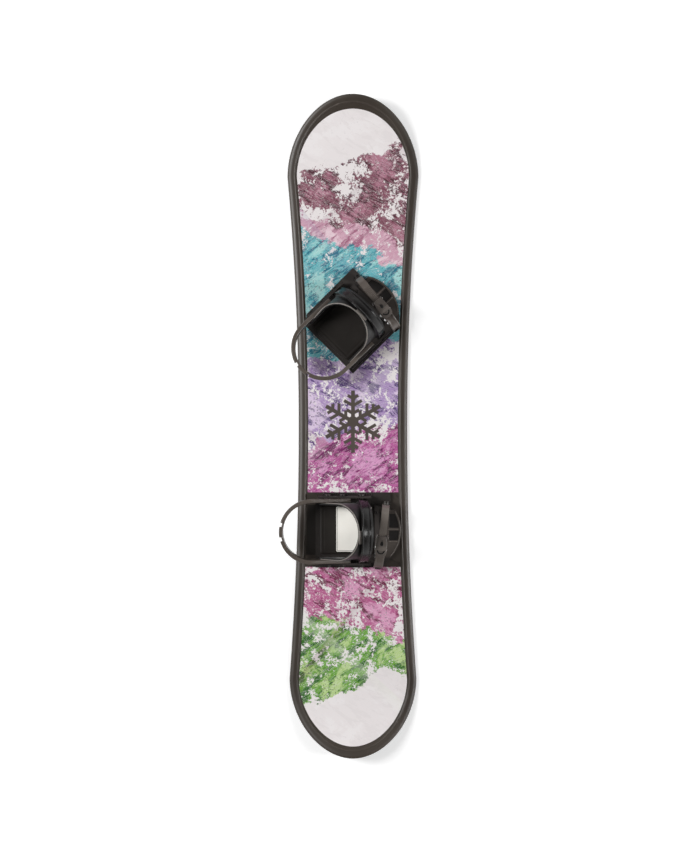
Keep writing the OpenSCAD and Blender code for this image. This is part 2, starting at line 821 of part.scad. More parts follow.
module toe_strap_bolts() {
    color(dark_steel) toe_place() translate([0, 0, toe_pivot_z]) {
        v_cylinder(bolt_r, -toe_outer - seat, lug_v[0] + lug_t);
        v_cylinder(bolt_head_r, -toe_outer - seat - bolt_head_t, -toe_outer - seat);
        v_cylinder(bolt_r, toe_outer - ladder_t - seat, lug_v[1] + lug_t + seat);
        v_cylinder(bolt_head_r, lug_v[1] + lug_t + seat, lug_v[1] + lug_t + seat + bolt_head_t);
        v_cylinder(bolt_head_r - 0.6, toe_outer - ladder_t - seat - nut_t,
            toe_outer - ladder_t - seat);
    }
}

module buckle_frame() {
    color(charcoal) toe_place() difference() {
        union() {
            box(-buckle_w / 2, buckle_w / 2, buckle_end, buckle_v,
                toe_strap_top, toe_strap_top + floor_t);
            for (s = [-1, 1]) scale([s, 1, 1]) box(buckle_w / 2 - wall_t, buckle_w / 2,
                buckle_end, buckle_v, toe_strap_top, lever_pin_z - 0.4);
            for (s = [-1, 1], v = [lever_pin_v, pawl_pin_v]) scale([s, 1, 1])
                translate([buckle_w / 2 - wall_t, v, lever_pin_z]) rotate([0, 90, 0])
                    cylinder(r = boss_r, h = wall_t);
        }
        for (v = [lever_pin_v, pawl_pin_v]) translate([-buckle_w, v, lever_pin_z])
            rotate([0, 90, 0]) cylinder(r = pin_r + run, h = 2 * buckle_w);
    }
}
module buckle_pins() {
    color(steel) toe_place() for (v = [lever_pin_v, pawl_pin_v])
        translate([-buckle_w / 2 - pin_end, v, lever_pin_z]) rotate([0, 90, 0])
            cylinder(r = pin_r, h = buckle_w + 2 * pin_end);
}

// Lever: a hub on its pin and a blade that reaches back over the strap to an open finger loop
lever_end = buckle_end - 4.5;
lever_head = lever_pin_v + 2;
lever_z = lever_pin_z + boss_r + 0.4;
lever_t = 2.2;
lever_corner = 5;
lever_hub_r = 2.6;
lever_web = [-7, -3];
lever_eye_v = -11;
finger_slot_v = 6.5;
finger_slot = [buckle_w - 8, 1.6];
module buckle_lever() {
    color(charcoal) toe_place() difference() {
        union() {
            translate([-lever_half, lever_pin_v, lever_pin_z]) rotate([0, 90, 0])
                cylinder(r = lever_hub_r, h = 2 * lever_half);
            box(-lever_half, lever_half, lever_pin_v + lever_web[0], lever_pin_v,
                lever_pin_z + lever_hub_r - 2, lever_pin_z + lever_hub_r);
            translate([0, 0, lever_z]) linear_extrude(height = lever_t) difference() {
                translate([0, (lever_end + lever_head) / 2])
                    polygon(rounded(buckle_w, lever_head - lever_end, lever_corner));
                translate([0, lever_end + finger_slot_v]) square(finger_slot, center = true);
                translate([0, lever_head + lever_eye_v]) circle(r = lever_hub_r);
            }
            box(-lever_half, lever_half, lever_pin_v + lever_web[0],
                lever_pin_v + lever_web[1], lever_pin_z + lever_hub_r - 2, lever_z + seat);
        }
        translate([-buckle_w, lever_pin_v, lever_pin_z])
            rotate([0, 90, 0]) cylinder(r = pin_r + run, h = 2 * buckle_w);
    }
}
// Pawl: a finger on the second pin that holds the ladder
pawl_hub_r = 2.4;
pawl_l = 5.4;
module buckle_pawl() {
    color(steel) toe_place() difference() {
        union() {
            translate([-lever_half, pawl_pin_v, lever_pin_z]) rotate([0, 90, 0])
                cylinder(r = pawl_hub_r, h = 2 * lever_half);
            box(1 - lever_half, lever_half - 1, pawl_pin_v, pawl_pin_v + pawl_l,
                ladder_top + ladder_tooth + slip, lever_pin_z);
        }
        translate([-buckle_w, pawl_pin_v, lever_pin_z])
            rotate([0, 90, 0]) cylinder(r = pin_r + run, h = 2 * buckle_w);
    }
}

running_base();
core();
deck_shell();
graphic_sheet();
insert_nuts();
rear_label();
place("front") base_plate();  // front_base_plate
place("rear") base_plate();  // rear_base_plate
place("front") mounting_disc();  // front_mounting_disc
place("rear") mounting_disc();  // rear_mounting_disc
place("front") disc_screws();  // front_disc_screws
place("rear") disc_screws();  // rear_disc_screws
place("front") footbed();  // front_footbed
place("rear") footbed();  // rear_footbed
place("front") toe_ramp();  // front_toe_ramp
place("rear") toe_ramp();  // rear_toe_ramp
place("front") toe_pads();  // front_toe_pads
place("rear") toe_pads();  // rear_toe_pads
place("front") toe_bar_screws();  // front_toe_bar_screws
place("rear") toe_bar_screws();  // rear_toe_bar_screws
place("front") heel_hoop();  // front_heel_hoop
place("rear") heel_hoop();  // rear_heel_hoop
place("front") hoop_bolts();  // front_hoop_bolts
place("rear") hoop_bolts();  // rear_hoop_bolts
place("front") ankle_pad();  // front_ankle_pad
place("rear") ankle_pad();  // rear_ankle_pad
place("front") pad_clip();  // front_pad_clip
place("rear") pad_clip();  // rear_pad_clip
place("front") ankle_strap();  // front_ankle_strap
place("rear") ankle_strap();  // rear_ankle_strap
place("front") ankle_bolts();  // front_ankle_bolts
place("rear") ankle_bolts();  // rear_ankle_bolts
place("front") toe_strap();  // front_toe_strap
place("rear") toe_strap();  // rear_toe_strap
place("front") ladder_strap();  // front_ladder_strap
place("rear") ladder_strap();  // rear_ladder_strap
place("front") toe_strap_bolts();  // front_toe_strap_bolts
place("rear") toe_strap_bolts();  // rear_toe_strap_bolts
place("front") buckle_frame();  // front_buckle_frame
place("rear") buckle_frame();  // rear_buckle_frame
place("front") buckle_pins();  // front_buckle_pins
place("rear") buckle_pins();  // rear_buckle_pins
place("front") buckle_lever();  // front_buckle_lever
place("rear") buckle_lever();  // rear_buckle_lever
place("front") buckle_pawl();  // front_buckle_pawl
place("rear") buckle_pawl();  // rear_buckle_pawl
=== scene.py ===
"""Looks of a youth snowboard with two strap bindings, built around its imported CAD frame.

Pieces are drawn in millimetres, in the frame of the part (+Y to the nose, +X to the toe side, +Z
up) or of a binding (u to the toe, v across the foot, z above the graphic sheet), and are scaled to
metres when they become meshes.
"""

from math import asin, atan2, copysign, cos, exp, pi, radians, sin, sqrt, tan

import bmesh
import bpy
from mathutils import Matrix, Vector


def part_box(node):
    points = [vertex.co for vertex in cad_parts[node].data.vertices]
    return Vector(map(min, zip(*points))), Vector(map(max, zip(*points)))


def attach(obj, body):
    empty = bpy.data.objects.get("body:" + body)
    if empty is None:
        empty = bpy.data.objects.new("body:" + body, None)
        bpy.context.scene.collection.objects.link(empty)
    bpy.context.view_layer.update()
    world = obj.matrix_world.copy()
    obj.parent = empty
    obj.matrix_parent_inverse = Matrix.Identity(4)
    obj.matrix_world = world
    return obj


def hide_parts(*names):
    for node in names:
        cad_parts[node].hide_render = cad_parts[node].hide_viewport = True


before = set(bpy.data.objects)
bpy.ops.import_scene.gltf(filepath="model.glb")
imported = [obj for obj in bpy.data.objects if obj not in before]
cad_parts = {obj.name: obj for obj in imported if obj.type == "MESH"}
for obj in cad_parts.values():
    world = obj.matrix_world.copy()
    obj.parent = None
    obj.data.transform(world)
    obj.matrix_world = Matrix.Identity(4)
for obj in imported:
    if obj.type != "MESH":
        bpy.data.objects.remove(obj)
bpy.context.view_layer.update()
scene = bpy.context.scene

MM = 0.001
WELD = 0.002 * MM
SIDES = ("front", "rear")

# ---- Sizes of the board, in millimetres ----
BOARD_L, WAIST_W, NOSE_W, TAIL_W = 1100, 182, 220, 213
NOSE_L, TAIL_L = 132, 127
NOSE_FULLNESS, TAIL_FULLNESS = 1.97, 1.93
NOSE_LIFT, TAIL_LIFT = 36, 32
BASE_T, CORE_T, DECK_T, SHEET_T = 1.4, 5.2, 1.6, 0.3
RAIL_W, RAIL_H, RIDGE_H = 14, 0.9, 0.6
CORE_INSET = 15
SHEET_GAP, SHEET_GAP_NOSE, SHEET_GAP_TAIL, SHEET_EDGE = 2, 7, 3, 0.12
RAIL_SIDE, RAIL_SHOULDER = 2.4, 8
RIDGE_W, RIDGE_SLOPE = 1.1, 1
# Distance in from the ridge's outer foot, and height as a share of the ridge's
RIDGE_PROFILE = ((0, 0), (0.3, 0.05), (0.55, 0.3), (0.8, 0.75), (1.0, 0.95), (1.4, 1.0),
                 (2.0, 0.95), (2.4, 0.7), (2.6, 0.25))
DECK_Z = BASE_T + CORE_T + DECK_T
SHEET_Z = DECK_Z + SHEET_T
RAIL_Z = DECK_Z + RAIL_H
TIP_STEPS, SIDE_STEPS = 56, 40

# ---- Sizes of a binding, in millimetres ----
STANCE_W, STANCE_SHIFT = 350, 2
STANCE_ANGLE = {"front": 45, "rear": 0}
STANCE_Y = {"front": STANCE_SHIFT + STANCE_W / 2, "rear": STANCE_SHIFT - STANCE_W / 2}
HALF_PLATE, PLATE_T = 62.5, 5
FOOTBED_L, FOOTBED_W, FOOTBED_T, FOOTBED_TOE, FOOTBED_CORNER = 90, 80, 3, 35, 4
BORDER, BORDER_DEPTH, BORDER_SOFT, BED_EDGE, BED_FALL = 6, 0.35, 0.8, 3.0, 0.9
HOOP_R, HOOP_T, HOOP_LIP, HOOP_BACK, HOOP_TOP = 50, 3, 3.6, 68, 56
HOOP_FRONT, HOOP_FRONT_Z, HOOP_SOLE_Z, HOOP_HEEL_SOLE_Z = -4, 27, 9, 32
HOOP_BOLTS_U, HOOP_BOLT_Z, HOOP_BOSS_R, BOSS_EDGE, LIP_T = (-18, -42), 15, 6.2, 0.5, 3
NOTCH_V, NOTCH_W, NOTCH_LIP, NOTCH_SOFT = 11.5, 6, 0.25, 0.12
SIDE_RAIL_V = HOOP_R + HOOP_LIP + 0.3
INSTEP_SLOPE = radians(38)
SLOPE_C, SLOPE_S = cos(INSTEP_SLOPE), sin(INSTEP_SLOPE)
STRAP_W, STRAP_T, STRAP_TOP, STRAP_HEEL, STRAP_LEAN = 16, 2.8, 88.5, 15, 9
STRAP_R = SIDE_RAIL_V - 0.7
STRAP_TOE = STRAP_HEEL + STRAP_W
ARCH_Z = STRAP_TOP - STRAP_R / SLOPE_C
STRAP_TOE_Z = STRAP_TOP - STRAP_W * tan(INSTEP_SLOPE)
PIVOT_U, PIVOT_Z = STRAP_HEEL - STRAP_LEAN + STRAP_W / 2, 17
PAD_T = 3.5
PAD_R = HOOP_R - HOOP_T - 0.3
PAD_BLOCK_R = STRAP_R - STRAP_T - 0.3
WING_HEEL, PAD_FOOT_Z = -56, 24
PAD_HEEL_EDGE, PAD_HEEL_DROP, PAD_TOE_EDGE, BLOCK_SOFT = 4, 2.5, 2.4, 3.0
# The pad's rolled heel edge: its radius, how far its middle is under the face, and its width
ROLL_R, ROLL_DEPTH, ROLL_W = 1.25, 1.5, 2.2
TOE_BAR_Z, SCREW_R = 11, 2.6
SCREWS = ((39, 29), (39, -28), (39, -38), (39, -45))
# Radius as a share of the head's and height over the bar, from its foot to the floor of its socket
SCREW_PROFILE = ((0.98, -0.4), (1.0, 0.35), (0.97, 0.6), (0.85, 1.05), (0.65, 1.45), (0.46, 1.62),
                 (0.4, 1.6), (0.36, 1.35), (0.34, 0.8), (0.05, 0.7))
# The light bead on the pad's heel edge, a painted highlight: its radius, its offset from the pad's
# face, and the rows it skips at each end
LIT_BEAD_R, LIT_BEAD_OUT, LIT_BEAD_SKIP = 0.95, -0.35, 3
RAMP_REACH, RAMP_R, RAMP_T, RAMP_V, RAMP_ENDS = 17, 65, 7, -1, (-44, 32)
RAMP_RIBS = ((1.5, 58, 77), (-19, 60, 75))
RIB_R, LIP_R = 1.0, 0.75
TOE_U, TOE_V, TOE_TURN = 48, -9.5, 7.3
TOE_STRAP_W, TOE_STRAP_T, TOE_OUTER, TOE_STRAP_TOP = 15, 2.5, 53, 44
TOE_PIVOT_Z, TOE_CORNER_R = 13.5, 25
BUCKLE_V, BUCKLE_W = 4.5, 18.6
LEVER_PIN_V, LEVER_PIN_Z, LEVER_T = 0.5, 52, 2.2
LEVER_HEAD, LEVER_END, LEVER_Z = 2.5, -30, 55.8
LEVER_HALF, LEVER_WAIST, LEVER_TOP = 6.8, 2.6, LEVER_Z + LEVER_T
HUB_R, HUB_EDGE, ARM_T, WEB_T, SHADE_PLATE_INSET = 2.6, 0.4, 2.6, 4, 1.4
EYE_V, EYE_R, EYE_TAIL = -10.4, 2.7, 6.2
SLOT_V, SLOT_R, SLOT_W = LEVER_END + 9.5, 6.4, 2.3
GRIP_V, GRIP_W, GRIP_HALF = -21, 1, 5
# The label's film ends under the pad, so that no strip of it shows past the straps
LABEL_TRIM, LABEL_R, LABEL_EDGE, LABEL_INSET, LABEL_LINE = 3.5, 2.0, 0.05, 1.7, 0.55
# Its corners, in metres
LABEL_LOW, LABEL_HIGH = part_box("rear_label")
LABEL_HIGH = (LABEL_HIGH[0] - LABEL_TRIM * MM, *LABEL_HIGH[1:])


# ---- Colours, written as sRGB values from 0 to 255 ----
def srgb(r, g, b):
    def linear(c):
        c = c / 255
        return c / 12.92 if c <= 0.04045 else ((c + 0.055) / 1.055) ** 2.4

    return (linear(r), linear(g), linear(b), 1)


# ---- Node materials ----
class Nodes:
    """A short way to write the nodes of a material or a world."""

    def __init__(self, owner, place="Object"):
        owner.use_nodes = True
        self.owner = owner
        self.tree = owner.node_tree
        self.tree.nodes.clear()
        self.place = self.add("ShaderNodeTexCoord").outputs[place]

    def add(self, kind, **sockets):
        """A new node, with sockets set or linked by name, each space written as an underscore."""
        node = self.tree.nodes.new(kind)
        for name, value in sockets.items():
            self.put(node.inputs[name.replace("_", " ")], value)
        return node

    def put(self, socket, value):
        if isinstance(value, bpy.types.NodeSocket):
            self.tree.links.new(value, socket)
        elif value is not None:
            socket.default_value = value

    def math(self, operation, *values):
        node = self.add("ShaderNodeMath")
        node.operation = operation
        for socket, value in zip(node.inputs, values):
            self.put(socket, value)
        return node.outputs[0]

    def plus(self, a, b):
        return self.math("ADD", a, b)

    def minus(self, a, b):
        return self.math("SUBTRACT", a, b)

    def times(self, a, b):
        return self.math("MULTIPLY", a, b)

    def xyz(self):
        return self.add("ShaderNodeSeparateXYZ", Vector=self.place).outputs

    def mapped(self, scale, turn=0):
        """The coordinates turned about z by an angle in degrees, then scaled."""
        turned = self.add("ShaderNodeMapping", Vector=self.place, Rotation=(0, 0, radians(turn)))
        return self.add("ShaderNodeMapping", Vector=turned.outputs[0], Scale=scale).outputs[0]

    def noise(self, scale, detail=3, rough=0.5, vector=None, warp=0):
        return self.add("ShaderNodeTexNoise", Vector=vector or self.place, Scale=scale,
                        Detail=detail, Roughness=rough, Distortion=warp).outputs["Fac"]

    def cells(self, scale):
        return self.add("ShaderNodeTexVoronoi", Vector=self.place, Scale=scale).outputs["Distance"]

    def ramp(self, value, low, high, start=0.0, end=1.0):
        """Maps value from low..high to start..end, smoothly and clamped."""
        node = self.add("ShaderNodeMapRange", Value=value, From_Min=low, From_Max=high,
                        To_Min=start, To_Max=end)
        node.interpolation_type = "SMOOTHSTEP"
        return node.outputs["Result"]

    def mix(self, share, a, b):
        """A mix of two colours, each a socket or sRGB values."""
        node = self.add("ShaderNodeMix", Factor=share)
        node.data_type = "RGBA"
        for socket, colour in zip((s for s in node.inputs if s.type == "RGBA"), (a, b)):
            self.put(socket, srgb(*colour) if isinstance(colour, tuple) else colour)
        return next(s for s in node.outputs if s.type == "RGBA")

    def edges(self, low=0.52, high=0.6):
        """The convex edges, where handling wear and a painted highlight lighten the surface."""
        return self.ramp(self.add("ShaderNodeNewGeometry").outputs["Pointiness"], low, high)

    def bump(self, height, depth, strength, below=None):
        return self.add("ShaderNodeBump", Height=height, Distance=depth, Strength=strength,
                        Normal=below).outputs[0]

    def finish(self, colour, rough, normal, **fixed):
        shader = self.add("ShaderNodeBsdfPrincipled", Base_Color=colour, Roughness=rough,
                          Normal=normal, **fixed)
        self.add("ShaderNodeOutputMaterial", Surface=shader.outputs[0])
        return self.owner


def surface(name):
    return Nodes(bpy.data.materials.new(name))


def plastic(name, colour, worn, rough, shine=0.4, edge_wear_and_highlight=0.5, coat=0.0, grain=0.00003):
    """Moulded plastic with a fine grain, faint clouding, scuffs, and convex edges lightened by a
    share, partly as wear and partly as a painted highlight.
    """
    n = surface(name)
    cloud = n.noise(14, 4, 0.6)
    scuff = n.ramp(n.noise(40, 6, 0.7, n.mapped((1, 9, 3), 25)), 0.56, 0.72)
    body = n.mix(n.ramp(cloud, 0.4, 0.7, 0, 0.2), colour, worn)
    body = n.mix(n.times(scuff, 0.3), body, worn)
    # Lighter convex edges: partly wear, partly a painted highlight.
    if edge_wear_and_highlight:
        body = n.mix(n.times(n.edges(), edge_wear_and_highlight), body, worn)
    roughness = n.plus(n.ramp(cloud, 0.3, 0.7, rough - 0.04, rough + 0.05), n.times(scuff, 0.14))
    normal = n.bump(n.noise(1100, 2, 0.5), grain, 0.6)
    return n.finish(body, roughness, normal, Coat_Weight=coat, Coat_Roughness=0.1,
                    Specular_IOR_Level=shine)


def metal(name, colour, tarnished, rough, share=1.0):
    """Plated steel with fine turned scratches and a little tarnish."""
    n = surface(name)
    scratch = n.noise(700, 3, 0.6, n.mapped((1, 7, 1), 15))
    tarnish = n.ramp(n.noise(60, 4, 0.6), 0.45, 0.75)
    body = n.mix(n.times(tarnish, 0.4), colour, tarnished)
    roughness = n.plus(n.ramp(scratch, 0.3, 0.7, rough - 0.06, rough + 0.08),
                       n.times(tarnish, 0.12))
    return n.finish(body, roughness, n.bump(scratch, 0.00002, 0.5), Metallic=share)


def foam(name, colour, worn):
    """Closed-cell foam: small cells with painted shade in their pits, soft clouding and rubbed high
    places.
    """
    n = surface(name)
    cell = n.cells(850)
    cloud = n.noise(22, 5, 0.6)
    body = n.mix(n.ramp(cloud, 0.35, 0.7, 0, 0.6), colour, worn)
    # Painted shade: the cell pits are darkened.
    body = n.mix(n.ramp(cell, 0.0, 0.35, 0.35, 0), body, (18, 17, 16))
    normal = n.bump(cell, 0.00012, 0.5, n.bump(cloud, 0.0004, 0.3))
    return n.finish(body, n.ramp(cloud, 0.3, 0.7, 0.46, 0.62), normal, Sheen_Weight=0.03,
                    Sheen_Roughness=0.5, Specular_IOR_Level=0.2)


def rubber(name, colour, worn):
    """Grip rubber with raised points."""
    n = surface(name)
    points = n.cells(430)
    body = n.mix(n.ramp(points, 0.1, 0.45, 0.5, 0), colour, worn)
    body = n.mix(n.times(n.noise(35, 4), 0.3), body, worn)
    return n.finish(body, n.ramp(n.noise(60, 4), 0.3, 0.7, 0.55, 0.72),
                    n.bump(points, 0.0002, 0.5), Specular_IOR_Level=0.25)


def padding(name, colour, worn):
    """Coated cloth over foam: a fine twill, faint creases, and lighter edges, partly rubbed wear
    and partly a painted highlight.
    """
    n = surface(name)
    weave = n.add("ShaderNodeTexWave", Vector=n.place, Scale=420, Distortion=1.2)
    weave.bands_direction = "DIAGONAL"
    crease = n.noise(55, 5, 0.65, n.mapped((1, 2.5, 1), 40), 0.6)
    body = n.mix(n.ramp(crease, 0.35, 0.7, 0, 0.5), colour, worn)
    body = n.mix(n.times(n.edges(0.51, 0.57), 0.6), body, worn)
    normal = n.bump(weave.outputs["Fac"], 0.00006, 0.5, n.bump(crease, 0.0005, 0.35))
    return n.finish(body, n.ramp(crease, 0.3, 0.7, 0.36, 0.5), normal, Sheen_Weight=0.08,
                    Sheen_Roughness=0.4, Specular_IOR_Level=0.35)


def wood(name):
    """Laminated strips with growth rings along the board."""
    n = surface(name)
    ring = n.noise(30, 6, 0.6, n.mapped((6, 0.4, 6)), 0.4)
    strip = n.math("FRACT", n.times(n.xyz()[0], 40))
    body = n.mix(ring, (196, 158, 108), (150, 108, 66))
    body = n.mix(n.ramp(strip, 0.0, 0.06, 0.6, 0), body, (92, 62, 38))
    return n.finish(body, n.ramp(ring, 0.3, 0.7, 0.5, 0.65), n.bump(ring, 0.0002, 0.4))


def base_sheet(name):
    """Sintered running base: near black with the fine lines of its grind along the board."""
    n = surface(name)
    grind = n.noise(380, 3, 0.6, n.mapped((3, 0.06, 1)))
    cloud = n.noise(9, 4, 0.55)
    body = n.mix(n.ramp(cloud, 0.3, 0.7), (24, 23, 22), (40, 38, 36))
    body = n.mix(n.ramp(grind, 0.5, 0.75, 0, 0.25), body, (70, 67, 63))
    return n.finish(body, n.ramp(grind, 0.3, 0.7, 0.34, 0.5), n.bump(grind, 0.00006, 0.5))


def label(name):
    """Blank white film with one thin printed frame line."""
    n = surface(name)
    x, y = n.xyz()[:2]
    near, *gaps = (gap for value, low, high in zip((x, y), LABEL_LOW, LABEL_HIGH)
                   for gap in (n.minus(value, low), n.minus(high, value)))
    for gap in gaps:
        near = n.math("MINIMUM", near, gap)
    off_line = n.math("ABSOLUTE", n.minus(near, LABEL_INSET * MM))
    paper = n.noise(500, 4, 0.6)
    body = n.mix(n.ramp(n.noise(30, 4), 0.4, 0.8, 0, 0.4), (254, 251, 243), (244, 239, 227))
    line = n.ramp(off_line, 0.4 * LABEL_LINE * MM, LABEL_LINE * MM, 0.9, 0)
    body = n.mix(line, body, (52, 48, 44))
    return n.finish(body, n.ramp(paper, 0.3, 0.7, 0.4, 0.52), n.bump(paper, 0.00003, 0.4))


# ---- The printed sheet: a generic design of slanted, torn and speckled strata ----
SHEET_WHITE, SHEET_GREY, SHEET_PALE = (234, 228, 228), (230, 224, 224), (237, 232, 232)
FLECK = 0.7
INK, INK_PALE = (74, 66, 60), (88, 80, 74)
# Each stratum: its lower edge on the centreline in mm, the slope and the wave of that edge in mm,
# its strokes' turn in degrees, its dark, middle and light colours, and its bare paper and speckle
STRATA = (
    (448, 0.35, 22, 30, SHEET_GREY, SHEET_WHITE, SHEET_PALE, 0.0, 0.1),
    (335, -0.30, 26, 30, (88, 52, 62), (134, 82, 98), (176, 122, 140), 0.40, 0.6),
    (300, -0.30, 20, -35, (166, 106, 132), (206, 158, 178), (230, 202, 212), 0.18, 0.4),
    (126, 0.26, 18, -35, (52, 118, 138), (102, 180, 188), (158, 212, 210), 0.14, 0.65),
    (-8, 0.20, 20, 30, (92, 70, 122), (172, 144, 192), (218, 198, 224), 0.36, 0.6),
    (-110, 0.0, 0, -35, (112, 40, 92), (182, 92, 152), (214, 150, 194), 0.28, 0.6),
    (-235, 0.0, 0, 30, (50, 45, 41), (60, 54, 49), (70, 63, 57), 0.0, 0.0),
    (-330, -0.28, 14, 30, (110, 42, 72), (184, 96, 142), (216, 154, 188), 0.46, 0.6),
    (-442, 0.30, 20, -35, (56, 106, 44), (110, 164, 66), (184, 210, 140), 0.32, 0.55),
    (-700, 0.0, 0, 30, SHEET_GREY, SHEET_WHITE, SHEET_PALE, 0.0, 0.1),
)
# Sheer slanted planes: the centreline height in mm, the slope, the tint and its strength
PLANES = (
    (395, 0.9, (120, 84, 100), 0.16), (262, -1.2, (96, 96, 150), 0.14),
    (40, 1.1, (238, 232, 236), 0.22), (-62, -0.8, (120, 50, 88), 0.20),
    (-300, 1.3, (110, 40, 66), 0.24), (-385, -0.9, (232, 236, 222), 0.22),
)
PLANE_START, PLANE_W = 4, 34
BAND = (-235, -110)
# The darker rectangle beside the rear heel: its +X edge, the y it reaches from and to, and how soft
# it is
DARK_PATCH_EDGE, DARK_PATCH_REACH, DARK_PATCH_SOFT, DARK_PATCH_COLOUR = -28, (-215, -131), 0.5, (36, 32, 29)
# In metres: how far a torn edge strays, how far one unit of wave does, and how soft an edge is
TEAR, WAVE, SOFT = 75 * MM, 5 * MM, 0.4 * MM
FLAKE_Y, FLAKE_R, FLAKE_ARM, FLAKE_HUB, FLAKE_SOFT = 8, 52, 3.0, 9, 0.5
FLAKE_BRANCHES = ((14, 12), (27, 17), (39, 10))
BRANCH_W = 2.4


def snowflake(n, x, y):
    """The share of ink of a six-armed flake, from a sector folded about its arm."""

    def under(value, limit):
        return n.ramp(value, limit, limit + FLAKE_SOFT, 1, 0)

    dx = n.math("DIVIDE", x, MM)
    dy = n.minus(n.math("DIVIDE", y, MM), FLAKE_Y)
    sixth = pi / 3
    turn = n.math("MODULO", n.plus(n.math("ARCTAN2", dx, dy), 6.5 * sixth), sixth)
    turn = n.math("ABSOLUTE", n.minus(turn, sixth / 2))
    reach = n.math("SQRT", n.plus(n.times(dx, dx), n.times(dy, dy)))
    along = n.times(reach, n.math("COSINE", turn))
    across = n.times(reach, n.math("SINE", turn))
    ink = n.times(under(across, FLAKE_ARM), under(reach, FLAKE_R))
    ink = n.math("MAXIMUM", ink, under(reach, FLAKE_HUB))
    for start, length in FLAKE_BRANCHES:
        du = n.minus(along, start)
        run = n.plus(n.times(du, cos(sixth)), n.times(across, sin(sixth)))
        side = n.minus(n.times(across, cos(sixth)), n.times(du, sin(sixth)))
        branch = n.times(under(n.math("ABSOLUTE", side), BRANCH_W), under(run, length))
        ink = n.math("MAXIMUM", ink, n.times(branch, n.ramp(run, -FLAKE_SOFT, 0)))
    return ink


def crisp(n, value, threshold, soft=0.012):
    """1 where value is over a threshold, with a hard printed edge."""
    return n.ramp(value, threshold - soft, threshold + soft)


def stroke_fields(n, turn):
    """Broad brush strokes along one direction, and the thin scratches between them."""
    stroke = n.noise(24, 8, 0.68, n.mapped((1, 3.2, 1), turn), 0.9)
    scratch = n.noise(58, 5, 0.6, n.mapped((1, 7, 1), turn), 0.4)
    line = n.math("ABSOLUTE", n.minus(scratch, 0.5))
    return stroke, n.ramp(line, 0.006, 0.02, 1, 0)


def stratum_inks(n, fields, strokes, dark, middle, light, paper, speckle):
    """One stratum's inks: strokes in three tones, scratches, specks and bare torn paper."""
    blotch, torn, speck = fields
    stroke, line = strokes
    tone = n.plus(stroke, n.times(n.minus(torn, 0.5), 0.35))
    colour = n.mix(crisp(n, tone, 0.46, 0.03), dark, middle)
    colour = n.mix(crisp(n, n.plus(blotch, n.times(stroke, 0.3)), 0.71, 0.03), colour, light)
    dots = n.times(crisp(n, speck, 0.58), crisp(n, torn, 0.60 - 0.16 * speckle, 0.03))
    fleck = tuple(c * FLECK for c in dark)
    colour = n.mix(n.times(dots, 0.85 * min(1, 2 * speckle)), colour, fleck)
    if not paper:
        return colour
    colour = n.mix(n.times(line, 0.5), colour, SHEET_WHITE)
    worn = n.plus(n.times(blotch, -0.6), n.times(torn, 0.7))
    worn = n.plus(worn, n.times(speck, 0.2))
    return n.mix(crisp(n, worn, 0.24 - 0.14 * paper, 0.008), colour, SHEET_WHITE)


def printed_sheet(name):
    """Gloss-laminated film with the strata, the planes and the flake."""
    n = surface(name)
    x, y = n.xyz()[:2]
    fields = (n.noise(13, 8, 0.66, None, 0.6), n.noise(62, 8, 0.76, None, 0.3),
              n.noise(330, 2, 0.6))
    strokes = {turn: stroke_fields(n, turn) for turn in (30, -35)}
    torn = n.noise(38, 9, 0.74)
    ripple = n.noise(9, 3, 0.5)
    colour = upper = None
    for edge, slope, wave, turn, dark, middle, light, paper, speckle in STRATA:
        inks = stratum_inks(n, fields, strokes[turn], dark, middle, light, paper, speckle)
        colour = inks if colour is None else n.mix(upper, colour, inks)
        lift = n.times(n.minus(ripple, 0.5), wave * WAVE)
        rag = n.times(n.minus(torn, 0.5), TEAR if wave else 0)
        line = n.plus(n.times(x, slope), n.plus(lift, rag))
        depth = n.minus(n.plus(line, edge * MM), y)
        upper = n.ramp(depth, 0, SOFT)
    off_band = n.math("MAXIMUM", crisp(n, y, BAND[1] * MM, SOFT / 2),
                      crisp(n, n.times(y, -1), -BAND[0] * MM, SOFT / 2))
    for height, slope, tint, strength in PLANES:
        depth = n.minus(n.plus(n.times(x, slope), height * MM), y)
        fade = n.ramp(depth, PLANE_START * MM, PLANE_W * MM, strength, 0)
        sheer = n.times(n.ramp(depth, 0, SOFT), fade)
        colour = n.mix(n.times(sheer, off_band), colour, tint)
    # A darker rectangle over the film beside the rear heel.
    low, high = (edge * MM for edge in DARK_PATCH_REACH)
    dark_patch = 1
    for gap in (n.minus(DARK_PATCH_EDGE * MM, x), n.minus(y, low), n.minus(high, y)):
        dark_patch = n.times(dark_patch, crisp(n, gap, 0, DARK_PATCH_SOFT * MM))
    colour = n.mix(dark_patch, colour, DARK_PATCH_COLOUR)
    tone = n.mix(n.noise(20, 4), INK, INK_PALE)
    colour = n.mix(snowflake(n, x, y), colour, tone)
    haze = n.ramp(n.noise(12, 4, 0.6), 0.3, 0.7, 0.34, 0.44)
    return n.finish(colour, haze, n.bump(n.noise(260, 3), 0.00003, 0.4), Coat_Weight=0.2,
                    Coat_Roughness=0.16, Specular_IOR_Level=0.3)


def rail_plastic(name):
    """Dark brown moulded deck: satin, a little clouded, finely scuffed along the board."""
    n = surface(name)
    cloud = n.noise(7, 4, 0.55)
    scuff = n.ramp(n.noise(60, 6, 0.7, n.mapped((6, 1, 1))), 0.58, 0.75)
    body = n.mix(n.ramp(cloud, 0.3, 0.7), (50, 42, 35), (60, 51, 43))
    body = n.mix(n.times(scuff, 0.2), body, (92, 84, 76))
    # Lighter convex edges: partly scuffing, partly a painted highlight on the deck's edges and
    # ridges.
    body = n.mix(n.times(n.edges(0.505, 0.56), 0.5), body, (118, 109, 100))
    roughness = n.plus(n.ramp(cloud, 0.3, 0.7, 0.4, 0.48), n.times(scuff, 0.1))
    return n.finish(body, roughness, n.bump(n.noise(900, 2), 0.00004, 0.5),
                    Specular_IOR_Level=0.65)


CHARCOAL_WORN = (88, 83, 79)
